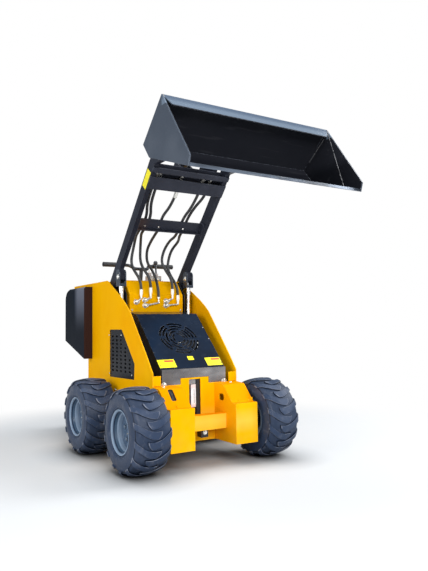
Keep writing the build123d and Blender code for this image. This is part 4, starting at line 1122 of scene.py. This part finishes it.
handle_enamel = black_enamel("handle_enamel", (0.022, 0.024, 0.032), 0.32, 0.50)
dress("drive_handle", handle_enamel)
dress("handle_grips", grip_rubber())
dress("control_valve", cast_metal("valve_casting", (0.62, 0.56, 0.54), 0.3))
dress("control_lever", handle_enamel)
valve_parts = bmesh.new()
for across in VALVE_CAPS_X:
    for face_y, way in VALVE_FACES:
        add_nut(valve_parts, (across, face_y, VALVE_CAPS_Z), (0, way, 0), 0.018, 0.012)
add_box(valve_parts, *VALVE_FOOT)
for seat in FOOT_BOLTS:
    add_nut(valve_parts, (*seat, VALVE_FOOT[1][2]), (0, 0, 1), *SMALL_BOLT)
add_tube(valve_parts, LEVER_SEAT, LEVER_TOP, 0.009, 0.006)
fit_piece("valve_caps", valve_parts, zinc_finish, "chassis")
handle_bolts = bmesh.new()
for across in HANDLE_BOLTS_X:
    for along in HANDLE_BOLTS_Y:
        add_nut(handle_bolts, (across, along, HANDLE_FOOT_Z), (0, 0, 1), *SMALL_BOLT)
fit_piece("handle_bolts", handle_bolts, zinc_finish, "chassis")

# ---- lift arms ------------------------------------------------------------------------------
# Two thick plate arms in dark blue-grey enamel, joined by a bolted bar and a pair of plates.
# One arm carries a plain yellow label; behind the plates sit the hose fittings and couplers.
ARM_BLUE = (0.016, 0.018, 0.028)
ARM_EDGE_WEAR_AND_HIGHLIGHT = (0.16, 0.17, 0.20)
ARM_PIVOT = Vector((0.0, 0.305, 0.876))
ARM_RISE = math.radians(48.0)
LABEL_BOX = ((-0.2600, 0.876, 0.064), (-0.2592, 0.988, 0.117))   # across, up the arm, square to it
ARM_BOLTS = [
    # up the arm, square to it, head radius, then where they are across
    (0.612, 0.094, 0.0055, (-0.168, -0.073, 0.100)),
    (0.984, 0.108, 0.0065, (-0.150, 0.000, 0.140)),
]
COLLAR_ENDS = ((-0.039, 0.834, 0.089), (-0.038, 0.890, 0.092))
COUPLERS_X = (0.130, 0.180)
COUPLER_FOOT, COUPLER_TOP = (0.990, 0.1506), (0.966, 0.1506)      # up the arm, and square to it
CAP_RED = (0.42, 0.05, 0.06)
RUST_BROWN = (0.075, 0.040, 0.028)

# Local axes of the arms as they stand: across, up the arm, square to it
arm_up = Vector((0.0, -math.cos(ARM_RISE), math.sin(ARM_RISE)))
arm_out = Vector((0.0, math.sin(ARM_RISE), math.cos(ARM_RISE)))
arm_frame = Matrix((
    (1.0, 0.0, 0.0, ARM_PIVOT.x), (0.0, arm_up.y, arm_out.y, ARM_PIVOT.y),
    (0.0, arm_up.z, arm_out.z, ARM_PIVOT.z), (0.0, 0.0, 0.0, 1.0)))
arm_enamel = black_enamel("arm_enamel", ARM_BLUE, 0.34, 0.50, ARM_EDGE_WEAR_AND_HIGHLIGHT, 0.12)
plate_enamel = black_enamel("plate_enamel", (0.030, 0.033, 0.047), 0.34, 0.50, ARM_EDGE_WEAR_AND_HIGHLIGHT, 0.12)
bar_end = both_masks(plate_enamel, between(plate_enamel, "X", -0.240, -0.165, 0.03),
                     between(plate_enamel, "Z", 1.30, 1.48, 0.02))
lay_over(plate_enamel, bar_end, RUST_BROWN, 0.6)
for arm_node in ("lift_arm_right", "lift_arm_left", "tilt_bracket"):
    dress(arm_node, arm_enamel)
dress("arm_cross_plates", plate_enamel)
dress("arm_fittings", zinc_finish)
dress("coupler_block", arm_enamel)
label = film_shape(*LABEL_BOX, arm_frame)
fit_piece("arm_label", label, yellow_film, "lift_arms")
arm_bolts = bmesh.new()
for up, square, radius, places in ARM_BOLTS:
    for across in places:
        add_dome(arm_bolts, arm_frame @ Vector((across, up, square)), -arm_out, radius, 0.005)
fit_piece("arm_bolts", arm_bolts, zinc_finish, "lift_arms")
hose_collar = bmesh.new()
add_tube(hose_collar, *(arm_frame @ Vector(end) for end in COLLAR_ENDS), 0.0115)
fit_piece("hose_collar", hose_collar, zinc_finish, "lift_arms")
cap_plastic = sticker_film("cap_plastic", CAP_RED)
caps = bmesh.new()
for across in COUPLERS_X:
    foot, top = (arm_frame @ Vector((across, *end)) for end in (COUPLER_FOOT, COUPLER_TOP))
    add_tube(caps, foot, top, 0.0165, 0.0150)
fit_piece("coupler_caps", caps, cap_plastic, "lift_arms")

# ---- cylinders ------------------------------------------------------------------------------
# Black enamelled barrels with chromed rods.  Each lift rod ends in a forged clevis whose two
# cheeks hold the pin; the pins' round heads are left bare.
CLEVIS_PIN_Y, CLEVIS_PIN_Z = 0.157, 1.090
CLEVIS_OUTER_X, CLEVIS_INNER_X = 0.268, 0.220


def hard_chrome():
    """Hard chrome: nearly white and very smooth, with a faint film of oil."""
    chrome = new_finish("hard_chrome", (0.93, 0.94, 0.96), 0.20, metallic=1.0)
    oily = cloudy(chrome, 18.0, 0.45, 0.78, stretch=(1.0, 1.0, 0.3))
    lay_over(chrome, oily, (0.78, 0.76, 0.70), 0.25)
    uneven_gloss(chrome, oily, 0.20, 0.32)
    grain(chrome, cloudy(chrome, 400.0, 0.3, 0.7, stretch=(1.0, 1.0, 0.1)), 0.0001, 0.3)
    return chrome


barrel_enamel = black_enamel("barrel_enamel", (0.014, 0.015, 0.019), 0.26, 0.44)
# Its pale blue edges are rubbed paint and a painted highlight.
clevis_enamel = black_enamel("clevis_enamel", (0.030, 0.038, 0.054), 0.16, 0.30, (0.26, 0.30, 0.36))
chrome_finish = hard_chrome()
for barrel_node in ("lift_barrel_right", "lift_barrel_left", "tilt_barrel"):
    dress(barrel_node, barrel_enamel)
for rod_node in ("lift_rod_right", "lift_rod_left", "tilt_rod"):
    dress(rod_node, chrome_finish)
for side_name, side in (("right", -1), ("left", 1)):
    dress(f"lift_clevis_{side_name}", clevis_enamel)
    heads = bmesh.new()
    for face_x, way in ((side * CLEVIS_OUTER_X, side), (side * CLEVIS_INNER_X, -side)):
        add_dome(heads, (face_x, CLEVIS_PIN_Y, CLEVIS_PIN_Z), (way, 0, 0), 0.0130, 0.006)
    fit_piece(f"clevis_pin_{side_name}", heads, zinc_finish, f"lift_rod_{side_name}")

# ---- bucket ---------------------------------------------------------------------------------
# Welded plate bucket in blue-grey enamel, with painted shade inside, a rolled lip, a bolted-on
# cutting edge that is worn bright, and the attachment plate on its back.
BUCKET_GREY = (0.044, 0.056, 0.078)
BUCKET_INSIDE_PAINTED_SHADE = (0.014, 0.0145, 0.019)
BUCKET_HALF_INSIDE = 0.5085
HEEL_PAINTED_SHADE = (0.005, 0.0055, 0.008)      # painted shade inside the floor plate, up to this height
HEEL_TOP_Z = 1.64
LIP_PAINTED_HIGHLIGHT = (0.120, 0.160, 0.215)
LIP_SHADE = (0.045, 0.070, 0.115)
LIP_BACK_Y, LIP_LOW_Z, LIP_SHADE_Z = -0.9428, 1.792, 1.823


def bucket_enamel():
    """Blue-grey enamel, dusty in drifts, with fine scratches, painted shade inside and deeper in the heel,
    and a painted highlight on the lip's front under painted shade at its top.
    """
    enamel = new_finish("bucket_enamel", BUCKET_GREY, 0.38, specular=0.2)
    dusty = cloudy(enamel, 3.5, 0.42, 0.74, detail=6.0)
    lay_over(enamel, dusty, (0.085, 0.100, 0.125), 0.5)
    # Painted shade over the inside, deeper in the heel.
    inside = between(enamel, "X", -BUCKET_HALF_INSIDE, BUCKET_HALF_INSIDE)
    lay_over(enamel, inside, BUCKET_INSIDE_PAINTED_SHADE, 0.95)
    heel = between(enamel, "Z", 1.40, HEEL_TOP_Z, 0.03)
    lay_over(enamel, both_masks(enamel, inside, heel), HEEL_PAINTED_SHADE, 0.8)
    # Painted highlight on the lip's front, with painted shade over its upper part.
    front = between(enamel, "Y", -1.01, LIP_BACK_Y)
    for low, soft, tone, amount in (
            (LIP_LOW_Z, 0.0005, LIP_PAINTED_HIGHLIGHT, 0.95), (LIP_SHADE_Z, 0.010, LIP_SHADE, 0.75)):
        lay_over(enamel, both_masks(enamel, front, between(enamel, "Z", low, 1.90, soft)), tone, amount)
    # Paler edges: worn paint and a painted highlight.
    rounded_edges(enamel, EDGE_ROUND, (0.24, 0.27, 0.32), 0.7)
    scratched = cloudy(enamel, 30.0, 0.62, 0.72, detail=2.0, stretch=(0.15, 1.0, 2.5))
    lay_over(enamel, scratched, (0.10, 0.10, 0.11), 0.12)
    uneven_gloss(enamel, dusty, 0.30, 0.48)
    grain(enamel, cloudy(enamel, 260.0, 0.2, 0.8, detail=1.0), 0.0003, 0.35)
    return enamel


def worn_edge():
    """Bare steel of the cutting edge, burnished in streaks and darker where paint is left."""
    steel = new_finish("worn_edge", (0.13, 0.16, 0.21), 0.34, metallic=0.7)
    lay_over(steel, cloudy(steel, 9.0, 0.40, 0.66, stretch=(0.5, 1.0, 2.0)), (0.045, 0.050, 0.062), 0.8)
    lay_over(steel, cloudy(steel, 50.0, 0.60, 0.74, stretch=(0.2, 1.0, 1.0)), (0.42, 0.43, 0.45), 0.5)
    grain(steel, cloudy(steel, 120.0, 0.2, 0.8, stretch=(0.1, 1.0, 1.0)), 0.0004, 0.5)
    return steel


WELD_RADIUS, WELD_X = 0.0028, 0.5080
WELD_RUNS = [((-0.949, 1.842), (-1.067, 1.498)), ((-0.923, 1.798), (-0.799, 1.699))]    # (y, z) ends


def weld_bead():
    """Bare weld along a joint: pale, rippled and brushed."""
    bead = new_finish("weld_bead", (0.20, 0.20, 0.21), 0.45, metallic=0.3)
    lay_over(bead, cloudy(bead, 60.0, 0.42, 0.62), (0.03, 0.03, 0.035), 0.9)
    grain(bead, cloudy(bead, 300.0, 0.3, 0.7), 0.0006)
    return bead


welds = bmesh.new()
for across in (-WELD_X, WELD_X):
    for start, end in WELD_RUNS:
        add_tube(welds, (across, *start), (across, *end), WELD_RADIUS, segments=8)
fit_piece("bucket_welds", welds, weld_bead(), "bucket")
dress("bucket", bucket_enamel())
dress("cutting_edge", worn_edge())
dress("quick_attach_plate", arm_enamel)

# ---- operator platform ----------------------------------------------------------------------
# A folded steel tread behind the machine, in black enamel with raised anti-slip studs.  It is
# hinged low on the back; here it only takes its finish and does not fold.


def stud_plate():
    """Black enamel over rows of pressed anti-slip studs whose tops are scuffed."""
    plate = black_enamel("stud_plate", (0.018, 0.019, 0.023), 0.36, 0.56)
    cells = add_node(plate, "ShaderNodeTexVoronoi",
                     {"Vector": own_place(plate), "Scale": 45.0, "Randomness": 0.0}, distance="EUCLIDEAN")
    stud = ramp(plate, cells.outputs["Distance"], 0.36, 0.24)
    lay_over(plate, stud, (0.10, 0.10, 0.11), 0.5)
    grain(plate, stud, 0.0016, 0.9)
    return plate


dress("operator_platform", stud_plate())
